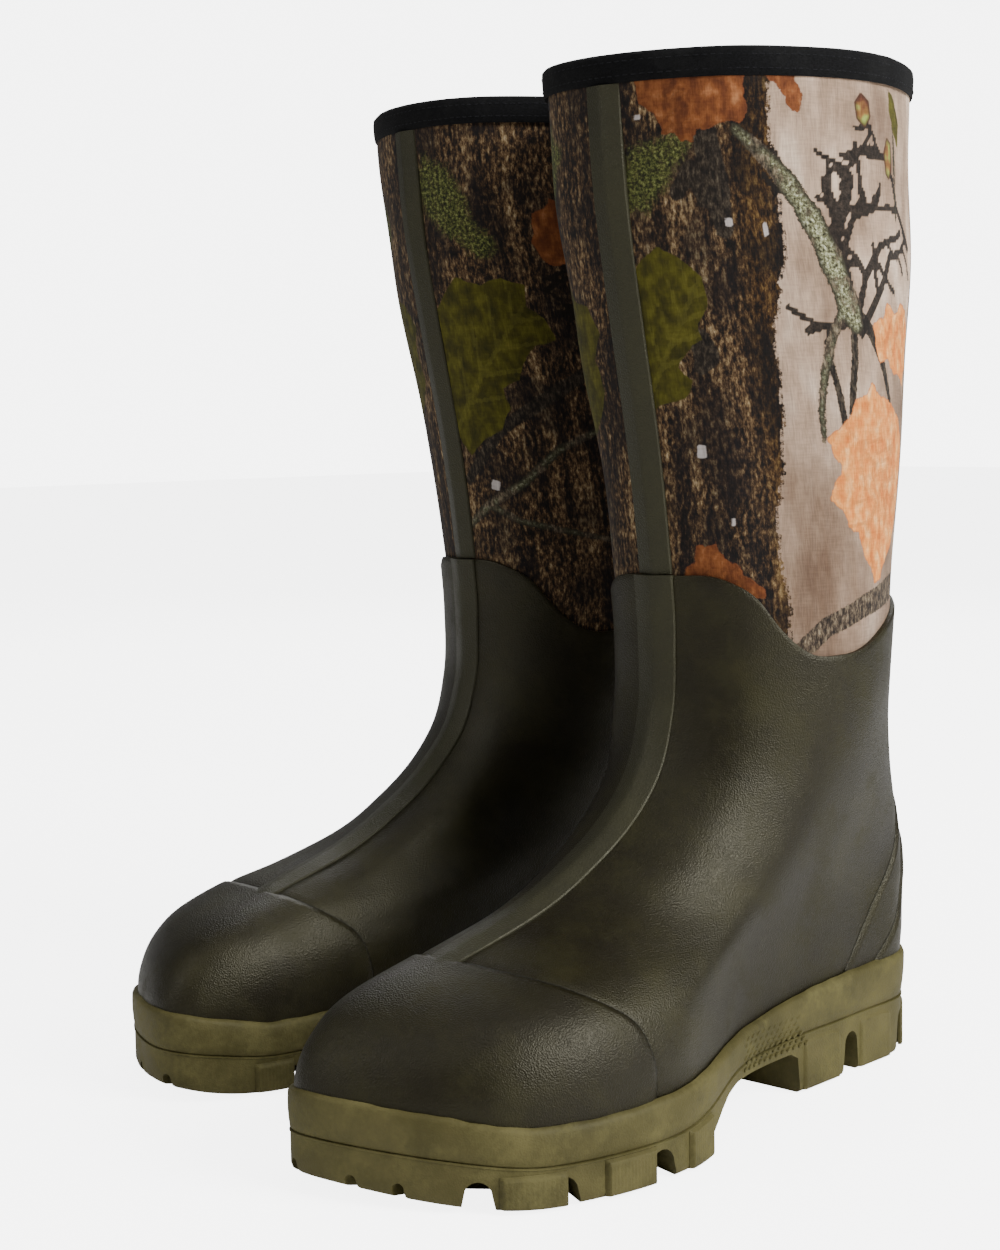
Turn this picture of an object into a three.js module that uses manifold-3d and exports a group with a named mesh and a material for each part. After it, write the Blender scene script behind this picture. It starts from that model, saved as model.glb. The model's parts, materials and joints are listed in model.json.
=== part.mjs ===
// A pair of insulated rubber and neoprene field boots with patterned neoprene legs.
// Millimetres, +Z up, toes toward -Y. The pair stands on z = 0.
// Each boot is drawn as a left boot in its own frame and mirrored for the right one.
import * as THREE from 'three';
import { mergeVertices } from 'three/addons/utils/BufferGeometryUtils.js';
import Module from 'manifold-3d';

const wasm = await Module();
wasm.setup();

// ---- Driving dimensions -------------------------------------------------------------------

const bootHeight = 400;      // ground to the top edge
const soleLength = 310;      // toe tip to heel back, at the sole
const heelBack = 150;        // boot origin to heel back
const ballWidth = 110;       // widest part of the sole
const waistWidth = 80;       // sole under the arch
const heelWidth = 78;        // sole at the heel
const ballShift = 8;         // the forefoot sits this far outward of the heel line
const toeShift = -20;        // the toe tip sits this far inward
const ankleWidth = 101;      // lower leg, outside
const ankleDepth = 120;
const topWidth = 136;        // leg at the top edge, outside
const topDepth = 153;
const legBack = 130;         // back of the lower leg from the boot origin

const rubberWall = 2.0;
const neopreneWall = 5.0;
const liningWall = 1.0;
const overlayWall = 1.2;     // second rubber layers: toe cap, heel counter
const ridgeWall = 2.0;       // raised rib along the front
const fitGap = 0.3;          // between pieces that touch

const randProud = 3.4;       // the sole's side stands out from the upper
const boardWall = 2.2;
const footbedWall = 5.0;
const footbedHeelRise = 4.0;
const footbedGap = 0.5;      // loose insert, so it lies a little easier than the other fits
const shankLength = 110;
const shankWidth = 14;
const shankWall = 1.4;
const bindingHeight = 11;    // outside face of the top binding
const bindingWall = 1.4;
const stripWidth = 16.5;     // front rib and strip
const tapeWidth = 14;        // tape over the back seam
const seamGap = 0.3;

const lugDepth = 9;          // forefoot grooves
const heelLugDepth = 16;
const grooveReach = 22;      // how far a side groove runs under the sole

const pivotY = 78;           // ankle flex axis in the boot's own frame
const pivotZ = 100;
const flexRelief = 2.0;      // half gap between foot and leg at the axis
const frontWedge = [8, 30];  // degrees above the axis, toward the toes
const backWedge = [-2, 8];    // degrees above the axis, toward the heel

const pairGap = 15;          // room between the two legs at their widest
const pairStagger = 25;      // the right boot stands this much further back
const toeOut = 5;            // degrees, each boot
const pairSpacing = Math.max(topWidth, ballWidth) + pairGap;

const around = 24;           // points round one boot

// ---- Smooth curves ------------------------------------------------------------------------

// Smooth value of one field in a table of rows sorted by their key.
function smooth(rows, key, field, at) {
  const last = rows.length - 1;
  if (at <= rows[0][key]) return rows[0][field];
  if (at >= rows[last][key]) return rows[last][field];
  let i = 0;
  while (rows[i + 1][key] < at) i += 1;
  const slope = (a) => (rows[a + 1][field] - rows[a][field]) / (rows[a + 1][key] - rows[a][key]);
  const tangent = (a) => {
    if (a === 0) return slope(0);
    if (a === last) return slope(last - 1);
    if (slope(a - 1) * slope(a) <= 0) return 0;
    const before = rows[a][key] - rows[a - 1][key];
    const after = rows[a + 1][key] - rows[a][key];
    return (slope(a - 1) * after + slope(a) * before) / (before + after);
  };
  const step = rows[i + 1][key] - rows[i][key];
  const t = (at - rows[i][key]) / step;
  const t2 = t * t;
  const t3 = t2 * t;
  return (2 * t3 - 3 * t2 + 1) * rows[i][field] + (t3 - 2 * t2 + t) * step * tangent(i)
    + (3 * t2 - 2 * t3) * rows[i + 1][field] + (t3 - t2) * step * tangent(i + 1);
}

const soleFront = heelBack - soleLength;

const ballBack = soleFront + 90;
const heelStart = heelBack - 90;
const archMiddle = ballBack + (heelStart - ballBack) * 7 / 13;

// Heights that change from toe to heel, above the ground.
const soleHeights = [
  { y: soleFront, ground: 7, parting: 21, deck: 26, rand: 37 },
  { y: soleFront + 18, ground: 2.5, parting: 18, deck: 24, rand: 33 },
  { y: soleFront + 46, ground: 0, parting: 14.5, deck: 22, rand: 28 },
  { y: ballBack, ground: 0, parting: 14.5, deck: 22, rand: 29 },
  { y: archMiddle, ground: 0, parting: 21.5, deck: 28, rand: 33.5 },
  { y: heelStart, ground: 0, parting: 23.5, deck: 30, rand: 40 },
  { y: heelBack, ground: 0, parting: 23.5, deck: 30, rand: 43 },
];
const heightAt = (y, field) => smooth(soleHeights, 'y', field, y);

// Outside of the rubber and, above it, of the leg: half widths at four stations of each level.
// Round is how full the heel is, blunt how full the toe end is.
const footInset = 3.5;
const footRun = legBack - ankleDepth - soleFront;
const drawnFootRun = 170;    // the run from toe tip to shin that the set-backs below are for
function footLevel(z, setBack, heelIn, sizes, round, blunt, shift) {
  return {
    z,
    front: soleFront + setBack * footRun / drawnFootRun,
    back: heelBack - heelIn,
    heel: heelWidth / 2 - footInset + sizes[0],
    waist: waistWidth / 2 - footInset + sizes[1],
    ball: ballWidth / 2 - footInset + sizes[2],
    round,
    blunt,
    ballShift: ballShift * shift,
    toeShift: toeShift * shift,
  };
}
const ellipseStations = { heel: 0.8, waist: 0.995, ball: 0.933, round: 0.64, blunt: 0.643 };
function legLevel(z, share, frontLean, backLean) {
  const half = (ankleWidth + (topWidth - ankleWidth) * share) / 2;
  return {
    z,
    front: legBack - ankleDepth + frontLean,
    back: legBack + backLean,
    heel: half * ellipseStations.heel,
    waist: half * ellipseStations.waist,
    ball: half * ellipseStations.ball,
    round: ellipseStations.round,
    blunt: ellipseStations.blunt,
    ballShift: 0,
    toeShift: -4,
  };
}
const ankleTop = 150;
const legRun = bootHeight - ankleTop;
const topLean = topDepth - ankleDepth - 4;
const levels = [
  footLevel(20, 4.5, 5, [-1, 0, 0], 0.87, 0.8, 1),
  footLevel(40, 5, 3.5, [0, 0.5, 0.5], 0.87, 0.8, 1),
  footLevel(52, 12, 3, [0.5, 0.5, -0.8], 0.87, 0.8, 0.95),
  footLevel(61, 23, 3, [0.5, 1, -3.5], 0.86, 0.78, 0.9),
  footLevel(68, 41, 3.3, [0.5, 1.5, -6.5], 0.85, 0.75, 0.75),
  footLevel(75, 66, 4, [0.7, 2, -10], 0.84, 0.72, 0.6),
  footLevel(84, 96, 5, [1, 3.5, -12], 0.8, 0.69, 0.45),
  footLevel(100, 129, 9, [2, 6, -10.5], 0.74, 0.67, 0.3),
  footLevel(125, 159, 17, [4, 10, -8], 0.68, 0.65, 0.2),
  legLevel(ankleTop, 0, 0, 0),
  legLevel(ankleTop + legRun * 0.12, 0.06, 1.5, 2.5),
  legLevel(ankleTop + legRun * 0.26, 0.17, -1.5, 5),
  legLevel(ankleTop + legRun * 0.44, 0.42, -8, 7.5),
  legLevel(ankleTop + legRun * 0.6, 0.68, -topLean * 0.55, 8),
  legLevel(ankleTop + legRun * 0.8, 0.92, -topLean * 0.86, 6),
  legLevel(bootHeight, 1, -topLean, 4),
];
const levelAt = (z, field) => smooth(levels, 'z', field, z);

// Closed outline of one level, heel back first, then down the outer (+X) side to the toe.
function outline(z) {
  const at = (field) => levelAt(z, field);
  const back = at('back');
  const reach = back - at('front');
  const y = (share) => back - share * reach;
  const ballMove = at('ballShift');
  const tip = at('toeShift');
  const endMove = ballMove * 0.7 + tip * 0.3;
  const side = (sign) => [
    [sign * at('round') * at('heel'), y(0.07)],
    [sign * at('heel'), y(0.2)],
    [sign * at('waist') + ballMove * 0.25, y(0.45)],
    [sign * at('ball') + ballMove, y(0.68)],
    [sign * at('blunt') * at('ball') + endMove, y(sign > 0 ? 0.9 : 0.93)],
  ];
  const points = [[0, back], ...side(1), [tip, y(1)], ...side(-1).reverse()];
  return new THREE.CatmullRomCurve3(points.map((p) => new THREE.Vector3(p[0], p[1], z)), true, 'catmullrom');
}

// A point of the outside surface, moved outward by depth. Turn runs 0..1 round the boot.
const outlineCache = new Map();
function outlineAt(z) {
  if (!outlineCache.has(z)) outlineCache.set(z, outline(z));
  return outlineCache.get(z);
}
function surfaceAt(z, turn) {
  return outlineAt(z).getPoint(((turn % 1) + 1) % 1);
}
const probe = 0.25;
function normalAt(z, turn) {
  const step = 0.002;
  const along = surfaceAt(z, turn + step).sub(surfaceAt(z, turn - step));
  const low = surfaceAt(z - probe, turn);
  const up = surfaceAt(z + probe, turn).sub(low);
  return up.cross(along).normalize();
}
function layerPoint(z, turn, depth) {
  return surfaceAt(z, turn).addScaledVector(normalAt(z, turn), depth);
}

// Height of a toe-to-heel profile where the outside surface crosses it.
function crossingHeight(field, turn, lift) {
  let z = 30;
  for (let i = 0; i < 6; i += 1) z = heightAt(surfaceAt(z, turn).y, field) + lift;
  return z;
}

// ---- Solids -------------------------------------------------------------------------------

// Two triangles between neighbouring points of two rings. Facing layers split their quads
// along the same diagonal, so that a thin gap between them stays open.
function quad(lowA, lowB, highA, highB, crossed) {
  if (crossed) return [lowA, highA, lowB, lowB, highA, highB];
  return [lowA, highA, highB, lowA, highB, lowB];
}

// Closes a ring that is symmetric about its first point with strips across it.
function ringCap(start, count, flip) {
  const index = [];
  for (let k = 0; k < count / 2; k += 1) {
    const corners = [k, k + 1, (count - k - 1) % count, (count - k) % count].map((i) => start + i);
    for (const face of [[0, 1, 2], [0, 2, 3]].map((f) => f.map((i) => corners[i]))) {
      if (new Set(face).size === 3) index.push(...(flip ? face.reverse() : face));
    }
  }
  return index;
}

// Joins rings of equal length into one closed solid. Loop joins the last ring to the first;
// otherwise the end rings are capped. Rings from crossedFrom on run the other way up.
function solidFromRings(rings, loop, crossedFrom = Infinity) {
  const count = rings[0].length;
  const index = [];
  const bands = loop ? rings.length : rings.length - 1;
  for (let r = 0; r < bands; r += 1) {
    const a = r * count;
    const b = ((r + 1) % rings.length) * count;
    for (let k = 0; k < count; k += 1) {
      const n = (k + 1) % count;
      index.push(...quad(a + k, a + n, b + k, b + n, r >= crossedFrom));
    }
  }
  if (!loop) {
    index.push(...ringCap(0, count, false), ...ringCap((rings.length - 1) * count, count, true));
  }
  return solidFromMesh(rings.flat().flatMap((p) => [p.x, p.y, p.z]), index);
}

// A slab between two grids of points with the same rows and columns. Turning tells whether
// the columns run with the boot's turn or against it.
function solidFromGrids(outer, inner, turning = 1) {
  const rows = outer.length;
  const columns = outer[0].length;
  const rings = outer.map((row, r) => [...row, ...[...inner[r]].reverse()]);
  const count = columns * 2;
  const index = [];
  for (let r = 0; r < rows - 1; r += 1) {
    for (let k = 0; k < count; k += 1) {
      const n = (k + 1) % count;
      const a = r * count;
      const outside = k < columns - 1;
      index.push(...quad(a + k, a + n, a + count + k, a + count + n, outside === (turning < 0)));
    }
  }
  for (const [start, flip] of [[0, false], [(rows - 1) * count, true]]) {
    for (let k = 0; k < columns - 1; k += 1) {
      const corners = [k, k + 1, count - k - 2, count - k - 1].map((i) => start + i);
      for (const face of [[0, 1, 2], [0, 2, 3]].map((f) => f.map((i) => corners[i]))) {
        index.push(...(flip ? face.reverse() : face));
      }
    }
  }
  return solidFromMesh(rings.flat().flatMap((p) => [p.x, p.y, p.z]), index);
}

function solidFromMesh(positions, index) {
  let mesh = new wasm.Mesh({
    numProp: 3,
    vertProperties: new Float32Array(positions),
    triVerts: new Uint32Array(index),
  });
  let solid = new wasm.Manifold(mesh);
  if (solid.volume() < 0) {
    const turned = [];
    for (let i = 0; i < index.length; i += 3) turned.push(index[i], index[i + 2], index[i + 1]);
    mesh = new wasm.Mesh({
      numProp: 3,
      vertProperties: new Float32Array(positions),
      triVerts: new Uint32Array(turned),
    });
    solid = new wasm.Manifold(mesh);
  }
  return solid;
}

function solidFromGeometry(geometry) {
  const plain = geometry.clone();
  plain.deleteAttribute('normal');
  plain.deleteAttribute('uv');
  const merged = mergeVertices(plain, 1e-4);
  return solidFromMesh(Array.from(merged.attributes.position.array), Array.from(merged.index.array));
}

function geometryFromSolid(solid) {
  const mesh = solid.getMesh();
  const geometry = new THREE.BufferGeometry();
  geometry.setAttribute('position', new THREE.BufferAttribute(new Float32Array(mesh.vertProperties), 3));
  geometry.setIndex(new THREE.BufferAttribute(new Uint32Array(mesh.triVerts), 1));
  geometry.computeVertexNormals();
  return geometry;
}

// A prism across the whole boot from an outline in the side view, points [y, z].
const prismHalf = 120;
function sidePrism(points) {
  const shape = new THREE.Shape(points.map((p) => new THREE.Vector2(p[0], p[1])));
  const geometry = new THREE.ExtrudeGeometry(shape, { depth: 2 * prismHalf, bevelEnabled: false });
  // The shape's x becomes y, its y becomes z and the extrusion runs along x.
  const turn = new THREE.Matrix4().set(0, 0, 1, -prismHalf, 1, 0, 0, 0, 0, 1, 0, 0, 0, 0, 0, 1);
  geometry.applyMatrix4(turn);
  return solidFromGeometry(geometry);
}

const turns = Array.from({ length: around }, (_, k) => k / around);
const ring = (depth, height) => turns.map((turn) => layerPoint(height(turn), turn, depth));

// Heights of the rows of a wall that starts at one line and ends at another.
const footRows = [36, 46, 55, 63, 70, 78, 88, 102, 122];
const legRowStep = 50;
const legRows = [ankleTop, ankleTop + legRowStep * 0.4];
for (let z = ankleTop + legRowStep; z < bootHeight - 10; z += legRowStep) legRows.push(z);
function rowHeights(startOf, endOf) {
  const marks = [...footRows, ...legRows];
  const lowest = Math.min(...turns.map(startOf));
  const highest = Math.max(...turns.map(endOf));
  const inside = marks.filter((z) => z > lowest && z < highest);
  // A row that would leave the wall is held a hair inside its edge.
  const hair = 0.04;
  const held = inside.map((z, i) => (turn) => {
    const above = Math.max(z, startOf(turn) + hair * (i + 1));
    return Math.min(above, endOf(turn) - hair * (inside.length - i));
  });
  return [startOf, ...held, endOf];
}

// A wall round the whole boot between two depths below the outside surface.
function wall(outerDepth, innerDepth, startOf, endOf) {
  const heights = rowHeights(startOf, endOf);
  const outer = heights.map((height) => ring(outerDepth, height));
  const inner = heights.map((height) => ring(innerDepth, height)).reverse();
  return solidFromRings([...outer, ...inner], true, heights.length);
}

// A strip that follows the front (turn 0.5) or back (turn 0) line, of a true width.
function stripTurn(z, centre, distance) {
  const middle = surfaceAt(z, centre);
  const sign = Math.sign(distance);
  let low = 0;
  let high = 0.12;
  for (let i = 0; i < 24; i += 1) {
    const mid = (low + high) / 2;
    if (surfaceAt(z, centre + sign * mid).distanceTo(middle) < Math.abs(distance)) low = mid;
    else high = mid;
  }
  return centre + sign * low;
}
function strip(centre, width, heights, baseDepth, profile) {
  const grid = (depthOf) => heights.map((z) => profile.map((p) => {
    const turn = stripTurn(z, centre, p[0] * width / 2);
    return layerPoint(z, turn, depthOf(p));
  }));
  return solidFromGrids(grid((p) => baseDepth + p[1]), grid(() => baseDepth));
}

// ---- Foot and leg split at the ankle ------------------------------------------------------

const far = 260;
const rayPoint = (degrees, away) => {
  const angle = THREE.MathUtils.degToRad(degrees);
  return [pivotY + away * Math.cos(angle), pivotZ + Math.abs(away) * Math.sin(angle)];
};
const shifted = (points, lift) => points.map((p) => [p[0], p[1] + lift]);
function splitLine(frontAngle, backAngle, lift) {
  return shifted([rayPoint(frontAngle, -far), [pivotY, pivotZ], rayPoint(backAngle, far)], lift);
}
const lowSplit = splitLine(frontWedge[0], backWedge[0], -flexRelief);
const highSplit = splitLine(frontWedge[1], backWedge[1], flexRelief);
const belowAnkle = () => sidePrism([...lowSplit, [far + pivotY, -10], [pivotY - far, -10]]);
const aboveAnkle = () => sidePrism([...highSplit, [far + pivotY, bootHeight + 50], [pivotY - far, bootHeight + 50]]);
const acrossAnkle = () => sidePrism([
  ...splitLine(frontWedge[0], backWedge[0], fitGap - flexRelief),
  ...splitLine(frontWedge[1], backWedge[1], flexRelief - fitGap).reverse(),
]);

// ---- The layers ---------------------------------------------------------------------------

const neopreneOuter = -(rubberWall + fitGap);
const neopreneInner = neopreneOuter - neopreneWall;
const liningOuter = neopreneInner - fitGap;
const liningInner = liningOuter - liningWall;
const overlayInner = fitGap;
const overlayOuter = fitGap + overlayWall;

const deckLine = (turn) => crossingHeight('deck', turn, fitGap);
const randLine = (turn) => crossingHeight('rand', turn, fitGap);
const topLine = () => bootHeight - bindingWall - fitGap - 1;

// Top edge of the rubber: level at the front, a low scallop at the side, rising at the back.
const rubberLine = { front: 205, side: 173, back: 200 };
const rubberEdge = [
  { angle: 0, z: rubberLine.front },
  { angle: 26, z: rubberLine.front - 2 },
  { angle: 38, z: rubberLine.front - 9 },
  { angle: 47, z: rubberLine.side + 12 },
  { angle: 58, z: rubberLine.side + 3 },
  { angle: 80, z: rubberLine.side },
  { angle: 115, z: rubberLine.side + 8 },
  { angle: 150, z: rubberLine.back - 8 },
  { angle: 180, z: rubberLine.back },
];
function rubberTop(turn) {
  const point = surfaceAt(rubberLine.side, turn);
  const centre = legBack - ankleDepth / 2;
  const angle = THREE.MathUtils.radToDeg(Math.atan2(Math.abs(point.x), centre - point.y));
  return smooth(rubberEdge, 'angle', 'z', angle);
}

function rubberShells() {
  const whole = wall(0, -rubberWall, deckLine, rubberTop);
  return {
    foot: whole.intersect(belowAnkle()),
    flex: whole.intersect(acrossAnkle()),
    leg: whole.intersect(aboveAnkle()),
  };
}

function neopreneFoot() {
  const whole = wall(neopreneOuter, neopreneInner, deckLine, () => ankleTop + 20);
  return { foot: whole.intersect(belowAnkle()), flex: whole.intersect(acrossAnkle()) };
}

const shaftStart = footRows[6];   // a row that the rubber has as well, below the ankle cut
// One side of the leg, from the ankle to the top edge, joined to the other front and back.
function shaftPanel(sign) {
  const columns = around / 2 + 1;
  const heights = rowHeights(() => shaftStart, topLine).map((height) => height(0));
  const grid = (depth) => heights.map((z) => Array.from({ length: columns }, (_, k) => {
    const share = k / (columns - 1);
    const first = stripTurn(z, 0, sign * seamGap / 2);
    const last = stripTurn(z, 0.5, -sign * seamGap / 2);
    const end = sign > 0 ? last : last - 1;
    return layerPoint(z, first + (end - first) * share, depth);
  }));
  return solidFromGrids(grid(neopreneOuter), grid(neopreneInner), sign).intersect(aboveAnkle());
}

const liningSock = () => wall(liningOuter, liningInner, deckLine, topLine);

const toeCapLength = 90;
const toeCapEdge = [[0, 20], [-1, 45], [-7, 58], [-18, 66], [-34, 76], [-38, 110]];
const shiftY = (points, move) => points.map((p) => [p[0] + move, p[1]]);
function toeRegion(move) {
  return sidePrism([...shiftY(toeCapEdge, soleFront + toeCapLength + move), [soleFront - 20, 110], [soleFront - 20, 20]]);
}
const counterEdge = [[-66, 34], [-48, 58], [-38, 78], [-34, 94]];
function heelRegion() {
  return sidePrism([...shiftY(counterEdge, heelBack), [heelBack + 20, 94], [heelBack + 20, 34]]);
}
function overlays() {
  const whole = wall(overlayOuter, overlayInner, randLine, () => 112);
  return { toe: whole.intersect(toeRegion(0)), heel: whole.intersect(heelRegion()) };
}

const ribProfile = [[-1, 0.25], [-0.6, 1], [0, 1], [0.6, 1], [1, 0.25]].map((p) => [p[0], p[1] * ridgeWall]);
function frontRidge() {
  const heights = [...footRows.filter((z) => z > 60), ...legRows.filter((z) => z < rubberLine.front - 3), rubberLine.front - 1];
  const whole = strip(0.5, stripWidth, heights, fitGap, ribProfile);
  const foot = whole.intersect(belowAnkle()).subtract(toeRegion(fitGap));
  return { foot, leg: whole.intersect(aboveAnkle()) };
}

const bindingBottom = bootHeight - bindingHeight;
function shaftRows(start) {
  const inside = legRows.filter((z) => z > start + 5 && z < bindingBottom - 5);
  return [start + fitGap, ...inside, bindingBottom - fitGap];
}
function frontStrip() {
  return strip(0.5, stripWidth, shaftRows(rubberLine.front), neopreneOuter + fitGap, ribProfile);
}
function backTape() {
  const flat = [[-1, 0.6], [0, 0.9], [1, 0.6]];
  return strip(0, tapeWidth, shaftRows(rubberLine.back), neopreneOuter + fitGap, flat);
}

function topBinding() {
  const outside = neopreneOuter + fitGap + bindingWall;
  const inside = liningInner - fitGap - bindingWall;
  const crown = bootHeight;
  const section = [
    [outside, bindingBottom], [outside, crown - 1], [outside - 1, crown], [inside + 1, crown],
    [inside, crown - 1], [inside, bindingBottom], [inside + bindingWall, bindingBottom],
    [inside + bindingWall, crown - bindingWall], [outside - bindingWall, crown - bindingWall],
    [outside - bindingWall, bindingBottom],
  ];
  return solidFromRings(section.map((p) => levelRing(p[0], p[1])), true);
}
// A ring offset level with the ground, so that a rim stays flat.
function levelRing(depth, z) {
  const level = Math.min(z, bootHeight - 2 * probe);
  return turns.map((turn) => {
    const normal = normalAt(level, turn).setZ(0).normalize();
    return surfaceAt(level, turn).addScaledVector(normal, depth).setZ(z);
  });
}

// ---- Sole ---------------------------------------------------------------------------------

// A ring that follows a toe-to-heel profile, offset in plan from the upper's foot line.
function profileRing(depth, field, lift) {
  return turns.map((turn) => {
    const z = crossingHeight(field, turn, 0);
    const normal = normalAt(z, turn).setZ(0).normalize();
    const point = surfaceAt(z, turn).addScaledVector(normal, depth);
    return point.setZ(heightAt(point.y, field) + lift);
  });
}

function groundedOutsole() {
  const bottom = profileRing(randProud - 2, 'ground', 0);
  const side = profileRing(randProud, 'ground', 5);
  const top = profileRing(randProud, 'parting', 0);
  let sole = solidFromRings([bottom, side, top], false);
  for (const cut of treadCuts()) sole = sole.subtract(cut);
  return sole;
}

// Grooves as tapered boxes. Side grooves reach in from each edge, the arch is cut right across.
const forefootGrooves = [
  { y: soleFront + 96, wide: 18, turn: 14, tall: lugDepth + 1 },
  { y: soleFront + 58, wide: 15, turn: 26, tall: lugDepth },
];
const toeGrooves = [
  { x: 31, turn: 52 },
  { x: 8, turn: 78 },
  { x: -14, turn: 98 },
];
const heelGrooves = [
  { y: heelBack - 69, wide: 15, turn: 0, tall: heelLugDepth },
  { y: heelBack - 31, wide: 15, turn: -14, tall: heelLugDepth },
];
const archCut = { front: soleFront + 108, back: heelBack - 104, tall: 17 };
const archRun = archCut.back - archCut.front;
const archSlope = [archRun * 32 / 98, archRun * 46 / 98];   // where its front face rises to

function taperedBox(length, wide, tall) {
  const half = wide / 2;
  const shape = new THREE.Shape([
    new THREE.Vector2(-half, -3),
    new THREE.Vector2(half, -3),
    new THREE.Vector2(half * 0.62, tall),
    new THREE.Vector2(-half * 0.62, tall),
  ]);
  const geometry = new THREE.ExtrudeGeometry(shape, { depth: length, bevelEnabled: false });
  geometry.applyMatrix4(new THREE.Matrix4().set(0, 0, 1, 0, 1, 0, 0, 0, 0, 1, 0, 0, 0, 0, 0, 1));
  return geometry;
}
function placedBox(length, wide, tall, x, y, degrees) {
  const geometry = taperedBox(length, wide, tall);
  geometry.rotateZ(THREE.MathUtils.degToRad(degrees));
  geometry.translate(x, y, 0);
  return solidFromGeometry(geometry);
}
function soleEdge(y, sign) {
  const edge = profileRing(randProud, 'ground', 5).filter((p) => Math.sign(p.x) === sign);
  edge.sort((a, b) => Math.abs(a.y - y) - Math.abs(b.y - y));
  return edge[0].x;
}
function treadCuts() {
  const overrun = 20;
  const cuts = [sidePrism([
    [archCut.front, -2], [archCut.front + archSlope[0], archCut.tall - 3],
    [archCut.front + archSlope[1], archCut.tall],
    [archCut.back - 3, archCut.tall], [archCut.back, -2],
  ])];
  for (const groove of [...forefootGrooves, ...heelGrooves]) {
    for (const sign of [1, -1]) {
      const start = soleEdge(groove.y, sign) - sign * grooveReach;
      const turn = sign > 0 ? -groove.turn : 180 + groove.turn;
      cuts.push(placedBox(grooveReach + overrun, groove.wide, groove.tall, start, groove.y, turn));
    }
  }
  for (const groove of toeGrooves) {
    cuts.push(placedBox(40, 7, lugDepth, groove.x, soleFront + 28, -groove.turn));
  }
  return cuts;
}

function sidewallRand() {
  const inside = fitGap;
  const shoulder = 2;
  const rings = [
    profileRing(inside, 'parting', fitGap),
    profileRing(randProud, 'parting', fitGap),
    profileRing(randProud, 'rand', -shoulder),
    profileRing(randProud - 1.2, 'rand', 0),
    profileRing(inside + 0.4, 'rand', 0),
  ];
  // The inner face follows the upper between the rand's top and the deck.
  const share = [0.66, 0.33];
  for (const part of share) {
    rings.push(turns.map((turn) => {
      const high = crossingHeight('rand', turn, 0);
      const low = crossingHeight('parting', turn, fitGap);
      return layerPoint(low + (high - low) * part, turn, inside);
    }));
  }
  return solidFromRings(rings, true);
}

const midsoleFoam = () => solidFromRings([
  profileRing(-fitGap, 'parting', fitGap),
  profileRing(-fitGap, 'deck', -boardWall - fitGap),
], false);
const insoleBoard = () => solidFromRings([
  profileRing(-fitGap, 'deck', -boardWall),
  profileRing(-fitGap, 'deck', 0),
], false);

function footbed() {
  const inset = liningInner - fitGap - 0.6;
  const bottom = profileRing(inset, 'deck', footbedGap);
  const rise = (y) => footbedWall + footbedHeelRise * THREE.MathUtils.smoothstep(y, heelBack - 190, heelBack - 80);
  const top = profileRing(inset - 0.8, 'deck', footbedGap).map((p) => p.clone().setZ(p.z + rise(p.y)));
  return solidFromRings([bottom, top], false);
}

// Thin spring plate under the arch, set into a slot in the board's underside.
function shankPlate(clearance) {
  const front = heelBack - 95 - shankLength;
  const steps = 6;
  const low = [];
  const high = [];
  for (let i = 0; i <= steps; i += 1) {
    const y = front - clearance + (shankLength + 2 * clearance) * i / steps;
    const z = heightAt(y, 'deck') - boardWall;
    low.push([y, z - fitGap - clearance]);
    high.push([y, z - fitGap + shankWall + clearance]);
  }
  const shape = new THREE.Shape([...low, ...high.reverse()].map((p) => new THREE.Vector2(p[0], p[1])));
  const width = shankWidth + 2 * clearance;
  const geometry = new THREE.ExtrudeGeometry(shape, { depth: width, bevelEnabled: false });
  geometry.applyMatrix4(new THREE.Matrix4().set(0, 0, 1, -width / 2, 1, 0, 0, 0, 0, 1, 0, 0, 0, 0, 0, 1));
  return solidFromGeometry(geometry);
}

// A small ledge across the heel for pushing the boot off.
const spur = { z: 70, height: 7, width: 34, proud: 3.6 };
function kickSpur() {
  const base = overlayOuter + fitGap;
  const profile = [[-1, 1.2], [-0.7, spur.proud], [0, spur.proud], [0.7, spur.proud], [1, 1.2]];
  return strip(0, spur.width, [spur.z - spur.height / 2, spur.z, spur.z + spur.height / 2], base, profile);
}

// ---- Colours and nodes --------------------------------------------------------------------

const finish = (color, roughness, metalness = 0) => () =>
  new THREE.MeshStandardMaterial({ color, roughness, metalness });
const finishes = {
  soleRubber: finish(0x857c4e, 0.8),
  upperRubber: finish(0x35352a, 0.45),
  printedNeoprene: finish(0x6b5a45, 0.85),
  blackNeoprene: finish(0x1c1d1c, 0.9),
  lining: finish(0x2a2b28, 0.95),
  binding: finish(0x151515, 0.85),
  foam: finish(0xc9c6b8, 0.9),
  board: finish(0xa58a62, 0.9),
  steel: finish(0x9a9da0, 0.4, 0.9),
};

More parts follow.
